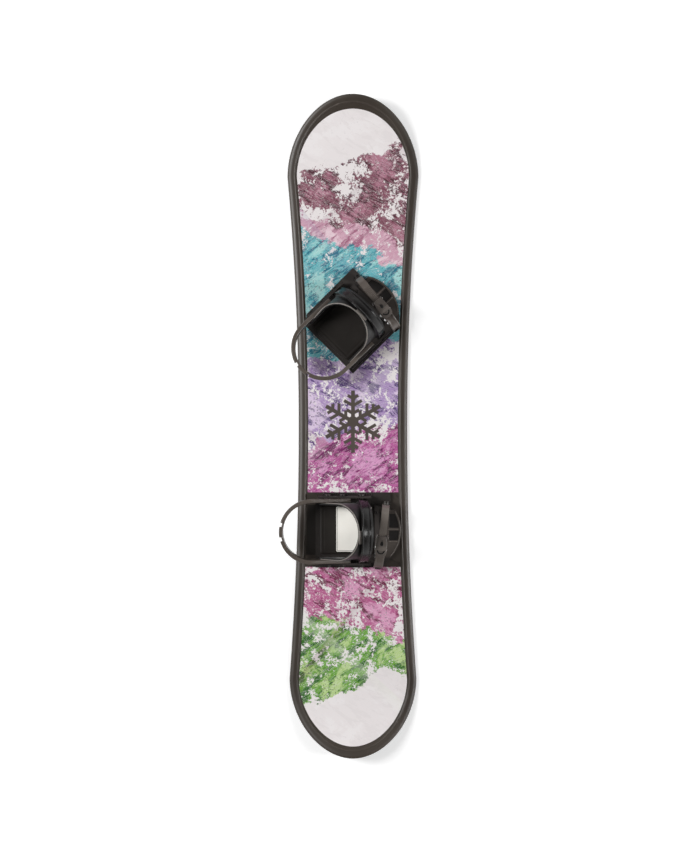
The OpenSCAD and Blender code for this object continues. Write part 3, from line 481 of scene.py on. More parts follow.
# Each slot: how its material is made, and that function's arguments after the name
SURFACES = {
    "base_plastic": (base_sheet,),
    "core_wood": (wood,),
    "deck_plastic": (rail_plastic,),
    "graphic_film": (printed_sheet,),
    # Near white and half metallic: plated steel, brightened so the screw heads show as glints, a
    # painted highlight.
    "steel": (metal, (236, 236, 237), (176, 172, 166), 0.4, 0.5),
    "black_steel": (metal, (58, 56, 55), (92, 88, 84), 0.38),
    "label_film": (label,),
    "ramp_plastic": (plastic, (60, 54, 50), (108, 101, 95), 0.36, 0.4, 0),
    "binding_plastic": (plastic, (48, 44, 42), CHARCOAL_WORN, 0.36, 0.35, 0),
    "disc_plastic": (plastic, (24, 22, 21), CHARCOAL_WORN, 0.45, 0.3, 0),
    "footbed_foam": (foam, (37, 33, 30), (48, 44, 40)),
    "grip_rubber": (rubber, (17, 15, 14), (40, 36, 34)),
    "hoop_plastic": (plastic, (82, 74, 68), (118, 109, 101), 0.3, 0.5, 0.5, 0.15),
    "pad_foam": (padding, (13, 12, 12), (36, 34, 33)),
    # Light grey: the pad clip's own colour, and on the pad's heel bead a painted highlight.
    "clip_plastic": (plastic, (118, 112, 107), (168, 162, 156), 0.32),
    "strap_gloss": (plastic, (15, 14, 14), (48, 46, 44), 0.22, 0.18, 0.5, 0.13, 0.00001),
    "strap_plastic": (plastic, (85, 77, 72), (122, 115, 108), 0.3, 0.5),
    "buckle_plastic": (plastic, (75, 69, 65), (112, 105, 99), 0.28, 0.5),
}
MATERIALS = {slot: make(slot, *looks) for slot, (make, *looks) in SURFACES.items()}


# ---- Meshes ----
def add_mesh(name, shape, body, slot, replaces=(), matrix=Matrix(), sharp=40, bevel=0.0):
    """A new piece from points in millimetres, with its body, its slot and what it stands for."""
    points, faces = shape
    mesh = bpy.data.meshes.new(name)
    mesh.from_pydata([tuple(p) for p in points], [], faces)
    mesh.transform(Matrix.Scale(MM, 4) @ matrix)
    work = bmesh.new()
    work.from_mesh(mesh)
    bmesh.ops.remove_doubles(work, verts=work.verts, dist=WELD)
    bmesh.ops.recalc_face_normals(work, faces=work.faces)
    work.to_mesh(mesh)
    work.free()
    mesh.shade_smooth()
    mesh.set_sharp_from_angle(angle=radians(sharp))
    piece = show(bpy.data.objects.new(name, mesh))
    piece.data.materials.append(MATERIALS[slot])
    if bevel:
        soften(piece, bevel, sharp)
    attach(piece, body)
    if replaces:
        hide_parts(*replaces)
    return piece


def show(thing):
    scene.collection.objects.link(thing)
    return thing


def soften(piece, width, angle):
    """Rounds a piece's sharp edges."""
    edge = piece.modifiers.new("edges", "BEVEL")
    edge.width = width * MM
    edge.segments = 2
    edge.limit_method = "ANGLE"
    edge.angle_limit = radians(angle)
    edge.use_clamp_overlap = True
    edge.harden_normals = True


def loft(rings, caps=True):
    """Points and faces of a skin through rings of equally many points."""
    count = len(rings[0])
    points = [p for ring in rings for p in ring]
    faces = []
    for k in range(len(rings) - 1):
        for i in range(count):
            j = (i + 1) % count
            faces.append((k * count + i, k * count + j, (k + 1) * count + j, (k + 1) * count + i))
    if caps:
        faces.append(tuple(range(count - 1, -1, -1)))
        faces.append(tuple(range(len(points) - count, len(points))))
    return points, faces


def join(*parts):
    """Several (points, faces) as one."""
    points, faces = [], []
    for more_points, more_faces in parts:
        start = len(points)
        points += [Vector(p) for p in more_points]
        faces += [tuple(start + i for i in face) for face in more_faces]
    return points, faces


def rounded_corners(corners, steps=4):
    """A polygon with each corner (x, y, radius) rounded, with the same count for any sizes."""
    out = []
    count = len(corners)
    for i in range(count):
        x, y, r = corners[i]
        here = Vector((x, y))
        before = Vector(corners[i - 1][:2]) - here
        after = Vector(corners[(i + 1) % count][:2]) - here
        reach = min(r, before.length * 0.49, after.length * 0.49)
        a = here + before.normalized() * reach
        b = here + after.normalized() * reach
        for k in range(steps + 1):
            t = k / steps
            out.append(a * (1 - t) ** 2 + here * 2 * t * (1 - t) + b * t * t)
    return out


def plate(outlines, z0, z1, round_edge):
    """A flat plate from an outline and its holes, with rounded edges, as (points, faces)."""
    curve = bpy.data.curves.new("plate", "CURVE")
    curve.dimensions = "2D"
    curve.fill_mode = "BOTH"
    for outline in outlines:
        spline = curve.splines.new("POLY")
        spline.points.add(len(outline) - 1)
        for point, p in zip(spline.points, outline):
            point.co = (p[0], p[1], 0, 1)
        spline.use_cyclic_u = True
    curve.extrude = (z1 - z0) / 2 - round_edge
    curve.bevel_depth = round_edge
    curve.bevel_resolution = 2
    curve.offset = -round_edge
    holder = show(bpy.data.objects.new("plate", curve))
    bpy.context.view_layer.update()
    mesh = bpy.data.meshes.new_from_object(
        holder.evaluated_get(bpy.context.evaluated_depsgraph_get()))
    middle = Vector((0, 0, (z0 + z1) / 2))
    points = [v.co + middle for v in mesh.vertices]
    faces = [tuple(p.vertices) for p in mesh.polygons]
    bpy.data.objects.remove(holder)
    bpy.data.meshes.remove(mesh)
    bpy.data.curves.remove(curve)
    return points, faces


def arc(steps, start=0.0, end=2 * pi):
    """The cosine and sine of evenly stepped angles, with both ends."""
    return [(cos(a), sin(a))
            for a in (start + (end - start) * i / steps for i in range(steps + 1))]


def turned(profile, place, steps=32):
    """A round solid from rows of station and radius, with place(station, x, y) as its points."""
    return loft([[Vector(place(station, r * c, r * s)) for c, s in arc(steps)[:-1]]
                 for station, r in profile])


def barrel(low, high, r, edge, place):
    """A cylinder with softened rims."""
    return turned(((low, r - edge), (low + edge, r), (high - edge, r), (high, r - edge)), place)


# ---- The board ----
NOSE_Y, TAIL_Y = BOARD_L / 2 - NOSE_L, BOARD_L / 2 - TAIL_L


def arc_radius(chord, rise):
    return (chord * chord + rise * rise) / (2 * rise)


NOSE_CUT_R = arc_radius(NOSE_Y, (NOSE_W - WAIST_W) / 2)
TAIL_CUT_R = arc_radius(TAIL_Y, (TAIL_W - WAIST_W) / 2)
NOSE_LIFT_R = arc_radius(NOSE_L, NOSE_LIFT)
TAIL_LIFT_R = arc_radius(TAIL_L, TAIL_LIFT)


def side_x(y, r):
    return WAIST_W / 2 + r - sqrt(r * r - y * y)


def base_z(y):
    if y > NOSE_Y:
        return NOSE_LIFT_R - sqrt(NOSE_LIFT_R ** 2 - (y - NOSE_Y) ** 2)
    if y < -TAIL_Y:
        return TAIL_LIFT_R - sqrt(TAIL_LIFT_R ** 2 - (-TAIL_Y - y) ** 2)
    return 0.0


def tip(w, fullness, start, length, a):
    return Vector((w / 2 * max(0, cos(a)) ** (2 / fullness),
                   start + length * sin(a) ** (2 / fullness)))


def board_outline():
    quarter = pi / 2
    half = [tip(TAIL_W, TAIL_FULLNESS, -TAIL_Y, -TAIL_L, quarter * (1 - i / TIP_STEPS))
            for i in range(TIP_STEPS)]
    sides = [(-TAIL_Y * (1 - i / SIDE_STEPS), TAIL_CUT_R) for i in range(SIDE_STEPS)]
    sides += [(NOSE_Y * i / SIDE_STEPS, NOSE_CUT_R) for i in range(SIDE_STEPS)]
    half += [Vector((side_x(y, r), y)) for y, r in sides]
    half += [tip(NOSE_W, NOSE_FULLNESS, NOSE_Y, NOSE_L, quarter * i / TIP_STEPS)
             for i in range(TIP_STEPS + 1)]
    half[0].x = half[-1].x = 0
    return half + [Vector((-p.x, p.y)) for p in half[-2:0:-1]]


OUTLINE = board_outline()
OUTLINE_N = len(OUTLINE)
ALONG = [OUTLINE[(i + 1) % OUTLINE_N] - OUTLINE[i - 1] for i in range(OUTLINE_N)]
NORMALS = [Vector((along.y, -along.x)).normalized() for along in ALONG]


def board_ring(inset, height, nose_extra=0, tail_extra=0):
    """The outline moved in by inset, at a height above the base curve."""
    ring = []
    for p, n in zip(OUTLINE, NORMALS):
        extra = nose_extra * max(0, n.y) ** 2 + tail_extra * max(0, -n.y) ** 2
        q = p - n * (inset + extra)
        ring.append(Vector((q.x, q.y, base_z(q.y) + height)))
    return ring


def zipped_cap(start, up):
    """Faces across the board between a ring's +X half and its mirrored -X half."""
    faces = []
    for i in range(OUTLINE_N // 2):
        ring = (i, i + 1, (OUTLINE_N - i - 1) % OUTLINE_N, (OUTLINE_N - i) % OUTLINE_N)
        face = [start + k for k in dict.fromkeys(ring)]
        faces.append(tuple(face if up else reversed(face)))
    return faces


def board_solid(rings):
    points, faces = loft(rings, caps=False)
    faces += zipped_cap(0, False)
    faces += zipped_cap((len(rings) - 1) * OUTLINE_N, True)
    return points, faces


def deck_rings():
    side_z = BASE_T + RAIL_SIDE
    rings = [board_ring(CORE_INSET, BASE_T + CORE_T), board_ring(CORE_INSET, BASE_T),
             board_ring(0.3, BASE_T), board_ring(0, BASE_T + 0.3)]
    rings += [board_ring(RAIL_SHOULDER * (1 - c), side_z + (RAIL_Z - side_z) * s)
              for c, s in arc(10, 0.0, pi / 2)]
    foot = RAIL_W - RIDGE_W - 2 * RIDGE_SLOPE
    rings += [board_ring(foot + reach, RAIL_Z + RIDGE_H * lift) for reach, lift in RIDGE_PROFILE]
    rings += [board_ring(RAIL_W - 0.35, DECK_Z + 0.4), board_ring(RAIL_W, DECK_Z + 0.1),
              board_ring(RAIL_W + 0.5, DECK_Z)]
    return rings


def build_board():
    base = [board_ring(0.5, 0), board_ring(0.15, 0.15), board_ring(0, 0.5), board_ring(0, BASE_T)]
    add_mesh("running_base_sheet", board_solid(base), "board", "base_plastic", ["running_base"])
    add_mesh("deck_with_rail", board_solid(deck_rings()), "board", "deck_plastic",
             ["deck_shell"], sharp=50)
    gap = RAIL_W + SHEET_GAP
    extras = (SHEET_GAP_NOSE, SHEET_GAP_TAIL)
    film = [board_ring(gap, DECK_Z, *extras), board_ring(gap, SHEET_Z - SHEET_EDGE, *extras),
            board_ring(gap + SHEET_EDGE, SHEET_Z, *extras)]
    add_mesh("printed_film", board_solid(film), "board", "graphic_film", ["graphic_sheet"])


# ---- Bindings ----
def placed(side):
    turn = Matrix.Rotation(radians(STANCE_ANGLE[side]), 4, "Z")
    return Matrix.Translation((0, STANCE_Y[side], SHEET_Z)) @ turn


def toe_placed(side):
    turn = Matrix.Rotation(radians(-TOE_TURN), 4, "Z")
    return placed(side) @ Matrix.Translation((TOE_U, TOE_V, 0)) @ turn


def between(value, table):
    """Linear steps through a table of (place, value) rows in rising order."""
    for (a, low), (b, high) in zip(table, table[1:]):
        if value <= b:
            return low + (high - low) * max(0, (value - a) / (b - a))
    return table[-1][1]


HOOP_TAIL = -HOOP_BACK - HOOP_R - HOOP_LIP - 1
CREST = ((HOOP_TAIL, HOOP_TOP), (-HOOP_BACK, HOOP_TOP - 8), (HOOP_FRONT, HOOP_FRONT_Z))
SOLE = ((HOOP_TAIL, HOOP_HEEL_SOLE_Z), (-HOOP_BACK - 16, (HOOP_SOLE_Z + HOOP_HEEL_SOLE_Z) / 2),
        (-HOOP_BACK, HOOP_SOLE_Z), (HOOP_FRONT, HOOP_SOLE_Z))


def hoop_stations():
    """Places round the hoop's U: a point on its axis line and the outward direction."""
    leg, turn = 24, 72
    heel = Vector((-HOOP_BACK, 0))
    legs = [Vector((HOOP_FRONT - (HOOP_BACK + HOOP_FRONT) * i / leg, 0)) for i in range(leg)]
    rows = [(place, Vector((0, 1))) for place in legs]
    rows += [(heel, Vector(way)) for way in arc(turn, pi / 2, 1.5 * pi)]
    rows += [(place, Vector((0, -1))) for place in legs[::-1]]
    for s in (1, -1):
        for v in (NOTCH_V + NOTCH_W / 2, NOTCH_V - NOTCH_W / 2):
            for nudge in (NOTCH_SOFT, -NOTCH_SOFT):
                a = pi - asin(s * (v + nudge) / HOOP_R)
                rows.append((heel, Vector((cos(a), sin(a)))))
    return sorted(rows, key=station_key)


def station_key(row):
    """The order of the stations: down the +v leg, round the heel, up the -v leg."""
    centre, way = row
    along = centre.x + HOOP_BACK
    if along > 0.001:
        return -along if way.y > 0 else 10 + along
    return atan2(way.y, way.x) % (2 * pi)


def hoop_ring(row):
    centre, way = row
    outer = centre + way * HOOP_R
    crest, sole = between(outer.x, CREST), between(outer.x, SOLE)
    in_notch = way.x < 0 and abs(abs(outer.y) - NOTCH_V) < NOTCH_W / 2
    lip = NOTCH_LIP if in_notch else HOOP_LIP
    section = rounded_corners((
        (HOOP_R - HOOP_T, sole, 1.2), (HOOP_R, sole, 1.2), (HOOP_R, crest - LIP_T, 1.4),
        (HOOP_R + lip, crest - LIP_T, 1.0), (HOOP_R + lip, crest, 1.3),
        (HOOP_R - HOOP_T, crest, 1.3)))
    return [Vector((*(centre + way * s.x), s.y)) for s in section]


def heel_hoop():
    bosses = []
    for s in (-1, 1):
        low, high = sorted((s * (HOOP_R - HOOP_T), s * (HOOP_R + HOOP_LIP)))
        bosses += [barrel(low, high, HOOP_BOSS_R, BOSS_EDGE,
                          lambda v, a, b, u=u: (u + a, v, HOOP_BOLT_Z + b)) for u in HOOP_BOLTS_U]
    return join(loft([hoop_ring(row) for row in hoop_stations()]), *bosses)


PAD_HEEL = STRAP_HEEL - PAD_HEEL_EDGE
PAD_TOE = STRAP_TOE + PAD_TOE_EDGE
PIVOT_TOE = PIVOT_U + STRAP_W / 2
PAD_CORNER_Z = STRAP_TOE_Z - STRAP_LEAN
# Side views, as (u, z) points: the strap with its round foot about the pivot, the whole pad, and
# the thicker part of the pad under the strap
STRAP_SIDE = [(PIVOT_U + STRAP_W / 2 * c, PIVOT_Z + STRAP_W / 2 * s)
              for c, s in arc(24, pi, 2 * pi)]
STRAP_SIDE += [(STRAP_TOE, STRAP_TOE_Z), (STRAP_TOE + 0.5, STRAP_TOP + 9),
               (STRAP_HEEL + 0.5, STRAP_TOP + 9), (STRAP_HEEL, STRAP_TOP - STRAP_LEAN)]
PAD_SIDE = [(WING_HEEL, PAD_FOOT_Z + 6), (WING_HEEL + 5, PAD_FOOT_Z), (PIVOT_TOE + 3, PAD_FOOT_Z),
            (PIVOT_TOE + 8.5, 45), (PAD_TOE, PAD_CORNER_Z), (PAD_TOE + 0.5, STRAP_TOP),
            (PAD_HEEL, STRAP_TOP), (PAD_HEEL, STRAP_TOP - PAD_HEEL_DROP)]
BLOCK_SIDE = [(PIVOT_U - STRAP_W / 2 + 1, PAD_FOOT_Z), (PIVOT_TOE + 2, PAD_FOOT_Z),
              (STRAP_TOE + 1, PAD_CORNER_Z), (STRAP_TOE + 1.5, STRAP_TOP),
              (STRAP_HEEL + 3, STRAP_TOP), (STRAP_HEEL + 1, PAD_CORNER_Z)]


def on_axis(u, z):
    """A side-view point as its place along the arch's axis and its height over it."""
    u, z = u - STRAP_HEEL, z - ARCH_Z
    return u * SLOPE_C - z * SLOPE_S, u * SLOPE_S + z * SLOPE_C


def crossing(outline, w):
    """Where the line at height w over the arch's axis enters and leaves a side outline."""
    found = []
    places = [on_axis(*point) for point in outline]
    for (ta, wa), (tb, wb) in zip(places, places[1:] + places[:1]):
        if (w <= wa) != (w <= wb):
            found.append(ta + (tb - ta) * (w - wa) / (wb - wa))
    return (min(found), max(found)) if len(found) > 1 else None


def arch_point(row, t, r):
    """A point at t along the arch's axis and r out from it."""
    across, leg, up = row[:3]
    w = leg + r * up
    return Vector((STRAP_HEEL + t * SLOPE_C + w * SLOPE_S, r * across,
                   ARCH_Z - t * SLOPE_S + w * SLOPE_C))


def arch_rows(outline, r, leg_rows, crown_rows):
    """Rows over the foot from one side to the other: each one's share of r across, its height on a
    leg, its share of r up, and where it enters and leaves the outline."""
    lowest = min(on_axis(*point)[1] for point in outline) + 0.05
    rows = [(1, min(lowest * (1 - i / leg_rows) ** 1.25, -0.001), 0) for i in range(leg_rows)]
    rows += [(c, 0, s) for c, s in arc(crown_rows, 0.0, pi / 2)]
    spans = [(*row, *span) for row in rows if (span := crossing(outline, row[1] + r * row[2]))]
    return spans + [(-row[0], *row[1:]) for row in spans[-2::-1]]


def strap_rings():
    """The ankle strap: rounded edges, a raised bead along each and a gently crowned middle."""
    inner, outer = STRAP_R - STRAP_T, STRAP_R
    # Distance from the strap's edge as a share of its half width, and depth under the outer face
    profile = ((0.0, 1.6), (0.03, 0.7), (0.08, 0.15), (0.14, 0.0), (0.2, 0.1), (0.25, 0.55),
               (0.34, 0.75), (0.5, 0.62), (0.75, 0.45), (1.0, 0.4))
    rings = []
    for *row, t0, t1 in arch_rows(STRAP_SIDE, outer, 16, 36):
        half = (t1 - t0) / 2
        heel = [(t0 + half * share, outer - depth) for share, depth in profile]
        toe = [(t1 - half * share, outer - depth) for share, depth in profile[-2::-1]]
        edge = min(0.6, half * 0.1)
        back = [(t1 - edge, inner), (t1 - half, inner), (t0 + edge, inner)]
        rings.append([arch_point(row, t, r) for t, r in heel + toe + back])
    return rings


def pad_thickness(t, block):
    """How far the pad stands out at t, given where the thicker part under the strap lies."""
    if block is None:
        return 0.0
    start, end = block
    rise = min(1, max(0, (t - start + BLOCK_SOFT) / BLOCK_SOFT))
    rise *= min(1, max(0, (end + BLOCK_SOFT - t) / BLOCK_SOFT))
    return (PAD_BLOCK_R - PAD_R) * rise * rise * (3 - 2 * rise)


def pad_rings():
    """The ankle pad: a lining with a round rolled heel edge, thicker under the strap."""
    columns = 30
    rings = []
    for *row, t0, t1 in arch_rows(PAD_SIDE, PAD_R, 30, 40):
        block = crossing(BLOCK_SIDE, row[1] + PAD_R * row[2])
        edge = min(1.0, (t1 - t0) / (4 * ROLL_R))
        start = t0 + ROLL_W * edge
        width = t1 - t0 - 2 * ROLL_W * edge
        ring = [(t0 + ROLL_R * edge * (1 - c), PAD_R - ROLL_DEPTH + ROLL_R * 1.15 * s)
                for c, s in arc(8, -pi / 2, pi / 2)]
        for k in range(columns + 1):
            t = start + width * k / columns
            channel = 0.5 * exp(-((t - start - edge) / 0.7) ** 2)
            ring.append((t, PAD_R - 0.25 + pad_thickness(t, block) * 0.98 - channel))
        ring += [(t1 - 0.9 * edge, PAD_R - 0.7), (t1, PAD_R - PAD_T / 2),
                 (t1 - 0.9 * edge, PAD_R - PAD_T + 0.4)]
        for k in range(columns, -1, -3):
            crown = 0.45 * sin(pi * k / columns) ** 0.5 if 0 < k < columns else 0.0
            ring.append((start + width * k / columns, PAD_R - PAD_T + 0.5 - crown))
        rings.append([arch_point(row, t, r) for t, r in ring])
    return rings


def tube(path, r):
    """A round bead along a path of points, with domed ends."""
    rings = []
    last = len(path) - 1
    for k, point in enumerate(path):
        along = (path[min(k + 1, last)] - path[max(k - 1, 0)]).normalized()
        side = along.cross(Vector((0, 0, 1)))
        side = side.normalized() if side.length > 0.01 else Vector((1, 0, 0))
        up = side.cross(along)
        share = {0: 0.35, last: 0.35, 1: 0.85, last - 1: 0.85}.get(k, 1.0)
        rings.append([point + (side * c + up * s) * r * share for c, s in arc(12)[:-1]])
    return loft(rings)


def pad_lit_bead():
    """The bead along the pad's heel edge, from one wing over the instep to the other; its light
    grey is a painted highlight.
    """
    rows = arch_rows(PAD_SIDE, PAD_R, 40, 48)[LIT_BEAD_SKIP:-LIT_BEAD_SKIP]
    return tube([arch_point(row, row[3] + LIT_BEAD_R, PAD_R + LIT_BEAD_OUT) for row in rows], LIT_BEAD_R)


def ramp_ribs_and_highlight():
    """The moulded ribs beside the grip pads, and the lip along the ramp's front; their lighter
    plastic is a painted highlight.
    """
    centre_u = HALF_PLATE + RAMP_REACH - RAMP_R
    r = RAMP_R - LIP_R
    ends = (asin((v - RAMP_V) / RAMP_R) for v in RAMP_ENDS)
    lip = [Vector((centre_u + r * c, RAMP_V + r * s, RAMP_T)) for c, s in arc(40, *ends)]
    ribs = [tube([Vector((u0 + (u1 - u0) * i / 8, v, RAMP_T)) for i in range(9)], RIB_R)
            for v, u0, u1 in RAMP_RIBS]
    return join(tube(lip, LIP_R), *ribs)


def toe_path():
    """Rows along the toe strap: outer point, inward direction and half width."""
    half = TOE_STRAP_W / 2
    start, end = -TOE_OUTER + TOE_CORNER_R, BUCKLE_V - 1
    leg_top = TOE_STRAP_TOP - TOE_CORNER_R
    rows = []
    for c, _ in arc(12, 0.0, pi / 2):
        z = TOE_PIVOT_Z - half * c * 0.999
        width = sqrt(max(0.02, half * half - (TOE_PIVOT_Z - z) ** 2))
        rows.append((Vector((-TOE_OUTER, z)), Vector((1, 0)), width))
    rows.append((Vector((-TOE_OUTER, leg_top)), Vector((1, 0)), half))
    for c, s in arc(24, 0.0, pi / 2)[1:]:
        way = Vector((-c, s))
        rows.append((Vector((start, leg_top)) + way * TOE_CORNER_R, -way, half))
    rows += [(Vector((start + (end - start) * i / 12, TOE_STRAP_TOP)), Vector((0, -1)), half)
             for i in range(1, 13)]
    return rows


def toe_strap_rings():
    """The toe strap: beaded edges and a shallow channel down its middle."""
    # Place across the strap as a share of its half width, and depth under the outer face
    profile = ((1.0, 1.3), (0.97, 0.45), (0.9, 0.05), (0.8, 0.0), (0.7, 0.1), (0.62, 0.5),
               (0.35, 0.6), (0.0, 0.55))
    rings = []
    for outer, inward, half in toe_path():
        across = [(-s * half, d) for s, d in profile] + [(s * half, d) for s, d in profile[-2::-1]]
        across += [(0.93 * half, TOE_STRAP_T), (0, TOE_STRAP_T), (-0.93 * half, TOE_STRAP_T)]
        rings.append([Vector((u, *(outer + inward * d))) for u, d in across])
    return rings


def half_ellipse(v, a, b, steps, start=pi, end=2 * pi):
    return [(a * c, v + b * s) for c, s in arc(steps, start, end)]


def lever_blade():
    """The lever's blade: waisted head, round tail, a drop-shaped eye and a curved finger slot."""
    half, waist = BUCKLE_W / 2, LEVER_PIN_V - 9
    outline = rounded_corners((
        (-half + LEVER_WAIST, LEVER_HEAD, 3), (-half, waist, 8), (-half, LEVER_END, 7),
        (half, LEVER_END, 7), (half, waist, 8), (half - LEVER_WAIST, LEVER_HEAD, 3)), 8)
    drop = half_ellipse(EYE_V, EYE_R, EYE_R, 24)
    drop += [(0.35 * EYE_R, EYE_V + EYE_TAIL - 0.8), (0, EYE_V + EYE_TAIL),
             (-0.35 * EYE_R, EYE_V + EYE_TAIL - 0.8)]
    reach = half - LEVER_WAIST
    slot = half_ellipse(SLOT_V, reach, SLOT_R, 20)
    slot += half_ellipse(SLOT_V, reach - SLOT_W, SLOT_R - SLOT_W, 20, 2 * pi, pi)
    return plate([outline, drop, slot], LEVER_Z, LEVER_TOP, 0.5)


def lever_shade_plate():
    """A dark plate under the blade, seen through its eye and its slot: painted shade in those
    openings.
    """
    half, end, top = BUCKLE_W / 2 - SHADE_PLATE_INSET, LEVER_END + SHADE_PLATE_INSET, EYE_V + 7
    outline = rounded_corners(((-half, top, 2), (-half, end, 6), (half, end, 6), (half, top, 2)), 6)
    return plate([outline], LEVER_Z - 0.5, LEVER_Z + 0.25, 0.2)


def box(u0, u1, v0, v1, z0, z1):
    points = [Vector((u, v, z)) for u in (u0, u1) for v in (v0, v1) for z in (z0, z1)]
    faces = [(0, 1, 3, 2), (4, 6, 7, 5), (0, 4, 5, 1), (2, 3, 7, 6), (0, 2, 6, 4), (1, 5, 7, 3)]
    return points, faces


def lever():
    """The blade with its grip rib, and the web, arm and hub that carry it on its pin."""
    back, arm_z = LEVER_PIN_V - 7, LEVER_PIN_Z + 0.6
    web = box(-LEVER_HALF, LEVER_HALF, back, back + WEB_T, arm_z, LEVER_Z + 0.3)
    arm = box(-LEVER_HALF, LEVER_HALF, back, LEVER_PIN_V, arm_z, LEVER_PIN_Z + ARM_T)
    hub = barrel(-LEVER_HALF, LEVER_HALF, HUB_R, HUB_EDGE,
                 lambda u, a, b: (u, LEVER_PIN_V + a, LEVER_PIN_Z + b))
    low, high = GRIP_V - GRIP_W / 2, GRIP_V + GRIP_W / 2
    outline = [(-GRIP_HALF, high, 0.4), (GRIP_HALF, high, 0.4), (GRIP_HALF, low, 0.4),
               (-GRIP_HALF, low, 0.4)]
    grip = plate([rounded_corners(outline, 2)], LEVER_TOP - 0.3, LEVER_TOP + 0.25, 0.2)
    return join(lever_blade(), web, arm, hub, grip)


def footbed():
    """A smooth foam bed with rounded edges and a shallow moulded border."""
    cells_u, cells_v = 90, 80
    centre_u = FOOTBED_TOE - FOOTBED_L / 2
    z0 = PLATE_T + 0.1
    half_u, half_v = FOOTBED_L / 2, FOOTBED_W / 2

    def kept(u, v):
        """Moves a point of the rectangle in to its rounded outline."""
        hu, hv = half_u - FOOTBED_CORNER, half_v - FOOTBED_CORNER
        du, dv = abs(u) - hu, abs(v) - hv
        if du > 0 and dv > 0:
            way = Vector((du, dv)).normalized() * max(du, dv)
            return copysign(hu + way.x, u), copysign(hv + way.y, v)
        return u, v

    points, faces = [], []
    for i in range(cells_u + 1):
        for j in range(cells_v + 1):
            u = half_u * (2 * i / cells_u - 1)
            v = half_v * (2 * j / cells_v - 1)
            edge = min(half_u - abs(u), half_v - abs(v))
            fall = max(0, 1 - edge / BED_EDGE)
            border = BORDER_DEPTH * exp(-((edge - BORDER) / BORDER_SOFT) ** 2)
            u, v = kept(u, v)
            z = z0 + FOOTBED_T - BED_FALL * fall * fall - border
            points.append(Vector((u + centre_u, v, z)))
    width = cells_v + 1
    for i in range(cells_u):
        for j in range(cells_v):
            a = i * width + j
            faces.append((a, a + width, a + width + 1, a + 1))
    rim = [*range(cells_v), *(i * width + cells_v for i in range(cells_u)),
           *(cells_u * width + j for j in range(cells_v, 0, -1)),
           *(i * width for i in range(cells_u, 0, -1))]
    start = len(points)
    points += [Vector((points[i].x, points[i].y, z0)) for i in rim]
    for k, i in enumerate(rim):
        m = (k + 1) % len(rim)
        faces.append((i, rim[m], start + m, start + k))
    faces.append(tuple(start + k for k in range(len(rim) - 1, -1, -1)))
    return points, faces


def label_sheet():
    """The blank label in the shared frame, in millimetres, with rounded corners."""
    (x0, y0, z0), (x1, y1, z1) = ([c / MM for c in corner] for corner in (LABEL_LOW, LABEL_HIGH))
    corners = ((x0, y0), (x1, y0), (x1, y1), (x0, y1))
    return plate([rounded_corners([(*corner, LABEL_R) for corner in corners])], z0, z1, LABEL_EDGE)


def screw_heads(places):
    """Button-head screws with a round socket, standing on the toe bar."""
    profile = [(TOE_BAR_Z + height, SCREW_R * share) for share, height in SCREW_PROFILE]
    return join(*(turned(profile, lambda z, a, b, u=u, v=v: (u + a, v + b, z), 24)
                  for u, v in places))


def build_binding(side):
    here, toe = placed(side), toe_placed(side)

    def add(name, shape, body, slot, *replaces, matrix=here, **looks):
        return add_mesh(f"{side}_{name}", shape, f"{side}_{body}", slot,
                        [f"{side}_{node}" for node in replaces], matrix, **looks)

    add("bar_screws", screw_heads(SCREWS[1:]), "plate", "steel", "toe_bar_screws", sharp=50)
    # The +v screw is drawn in the darker steel, the other three in plain steel.
    add("bar_screw_darker", screw_heads(SCREWS[:1]), "plate", "black_steel", sharp=50)
    add("hoop", heel_hoop(), "hoop", "hoop_plastic", "heel_hoop", sharp=35)
    add("instep_strap", loft(strap_rings()), "ankle", "strap_gloss", "ankle_strap", sharp=50)
    pad = add("instep_pad", loft(pad_rings()), "ankle", "pad_foam", "ankle_pad", sharp=70)
    # The bead's light grey is a painted highlight along the pad's heel edge.
    add("pad_lit_bead", pad_lit_bead(), "ankle", "clip_plastic")
    # The ribs' and lip's lighter plastic is a painted highlight.
    add("ramp_ribs_and_highlight", ramp_ribs_and_highlight(), "plate", "strap_plastic")
    add("toe_band", loft(toe_strap_rings()), "toe", "strap_plastic", "toe_strap", matrix=toe,
        sharp=50)
    add("lever_blade", lever(), "lever", "buckle_plastic", "buckle_lever", matrix=toe, bevel=0.3)
    # A near-black plate under the lever: painted shade seen through its eye and slot.
    add("lever_shade_plate", lever_shade_plate(), "lever", "pad_foam", matrix=toe)
    bed = add("foam_bed", footbed(), "plate", "footbed_foam", "footbed", sharp=60)


# ---- CAD nodes that stay: materials and softened edges ----
KEPT = {
    "core": ("core_wood", 0), "insert_nuts": ("steel", 0.2),
    "base_plate": ("binding_plastic", 0.5), "mounting_disc": ("disc_plastic", 0.3),
    "disc_screws": ("steel", 0.2), "toe_ramp": ("ramp_plastic", 0.55),
    "toe_pads": ("grip_rubber", 0.25),
    "hoop_bolts": ("black_steel", 0.3), "pad_clip": ("clip_plastic", 0.3),
    "ankle_bolts": ("black_steel", 0.3), "ladder_strap": ("strap_plastic", 0.2),
    "toe_strap_bolts": ("black_steel", 0.3), "buckle_frame": ("buckle_plastic", 0.35),
    "buckle_pins": ("steel", 0.2), "buckle_pawl": ("buckle_plastic", 0.25),
}


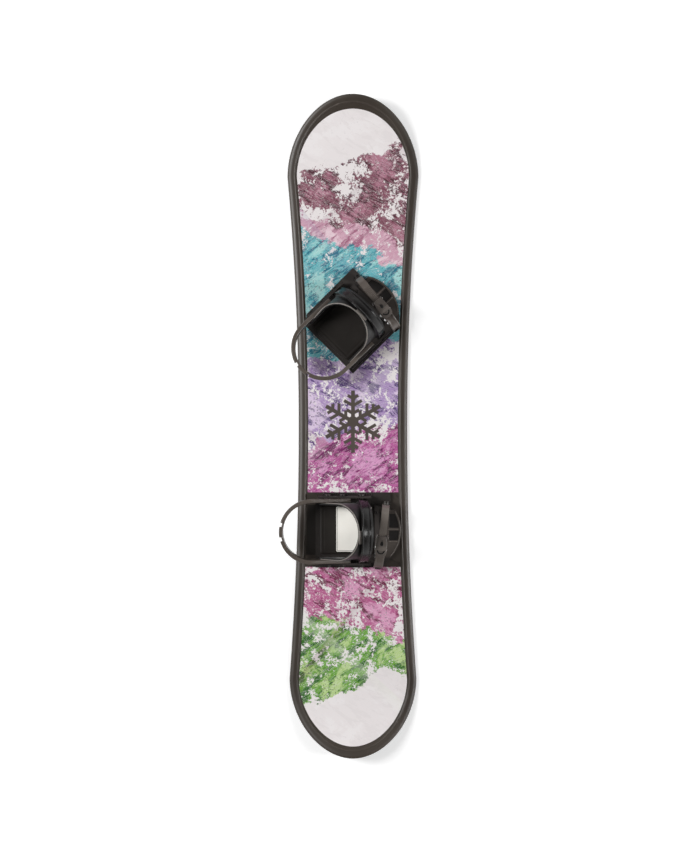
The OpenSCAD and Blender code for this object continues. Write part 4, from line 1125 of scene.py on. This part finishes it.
def dress_kept_nodes():
    for name, (slot, edge) in KEPT.items():
        for node in (name, *(f"{side}_{name}" for side in SIDES)):
            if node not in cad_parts:
                continue
            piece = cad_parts[node]
            piece.data.materials.clear()
            piece.data.materials.append(MATERIALS[slot])
            if edge:
                weld = piece.modifiers.new("weld", "WELD")
                weld.merge_threshold = WELD
                flat = piece.modifiers.new("flat", "DECIMATE")
                flat.decimate_type = "DISSOLVE"
                flat.angle_limit = radians(1)
                soften(piece, edge, 35)
                even = piece.modifiers.new("even", "WEIGHTED_NORMAL")
                even.keep_sharp = True
                even.weight = 100


# ---- Studio ----
CAMERA_H, FIELD_H, SENSOR = 2400, 1432, 36
CAMERA_PLACE = (-5, -1.7, SHEET_Z + CAMERA_H)
# The studio's walls are white up to the first height, the sine of an elevation, and its ceiling is
# darker from the second
SKY = (0.04, 0.22, 1.0, 0.1)
# Half the floor's size in metres, its height in mm, and the strength at which it is seen
FLOOR_REACH, FLOOR_Z, FLOOR_GLOW = 6.0, -0.3, 0.42
# Each lamp: its place in metres, its size and its power
LAMPS = (
    ("left_box", (-1.9, 0.4, 1.9), (0.8, 1.4), 60),
    ("right_box", (2.3, -0.3, 1.45), (0.6, 1.6), 40),
    ("head_box", (0.3, 2.2, 1.5), (1.6, 0.4), 3),
)


def build_studio():
    mesh = bpy.data.meshes.new("floor")
    r = FLOOR_REACH
    mesh.from_pydata([(-r, -r, 0), (r, -r, 0), (r, r, 0), (-r, r, 0)], [], [(0, 1, 2, 3)])
    mesh.materials.append(floor_material())
    floor = show(bpy.data.objects.new("floor", mesh))
    floor.location.z = FLOOR_Z * MM

    world = bpy.data.worlds.new("studio")
    scene.world = world
    n = Nodes(world, "Generated")
    sky = n.add("ShaderNodeBackground", Color=(1, 1, 1, 1), Strength=n.ramp(n.xyz()["Z"], *SKY))
    n.add("ShaderNodeOutputWorld", Surface=sky.outputs[0])

    for name, place, size, power in LAMPS:
        data = bpy.data.lights.new(name, "AREA")
        data.shape = "RECTANGLE"
        data.size, data.size_y = size
        data.energy = power
        lamp = show(bpy.data.objects.new(name, data))
        lamp.location = place
        lamp.rotation_euler = (-Vector(place)).to_track_quat("-Z", "Y").to_euler()

    data = bpy.data.cameras.new("camera")
    data.sensor_fit = "VERTICAL"
    data.sensor_height = SENSOR
    data.lens = SENSOR * CAMERA_H / FIELD_H
    camera = show(bpy.data.objects.new("camera", data))
    camera.location = Vector(CAMERA_PLACE) * MM
    scene.camera = camera
    scene.view_settings.view_transform = "Standard"


def floor_material():
    """Pale floor that keeps the shadow, and shows white where a ray shows the floor itself."""
    n = surface("floor")
    rays = n.add("ShaderNodeLightPath").outputs
    seen = n.plus(n.plus(rays["Is Camera Ray"], rays["Is Glossy Ray"]),
                  rays["Is Transmission Ray"])
    matte = n.add("ShaderNodeBsdfDiffuse", Color=srgb(236, 236, 236))
    glow = n.add("ShaderNodeEmission", Strength=n.ramp(seen, 0, 1, 0, FLOOR_GLOW))
    both = n.add("ShaderNodeAddShader")
    n.put(both.inputs[0], matte.outputs[0])
    n.put(both.inputs[1], glow.outputs[0])
    n.add("ShaderNodeOutputMaterial", Surface=both.outputs[0])
    return n.owner


build_studio()
build_board()
for binding in SIDES:
    build_binding(binding)
add_mesh("rear_blank_label", label_sheet(), "rear_plate", "label_film", ["rear_label"])
dress_kept_nodes()
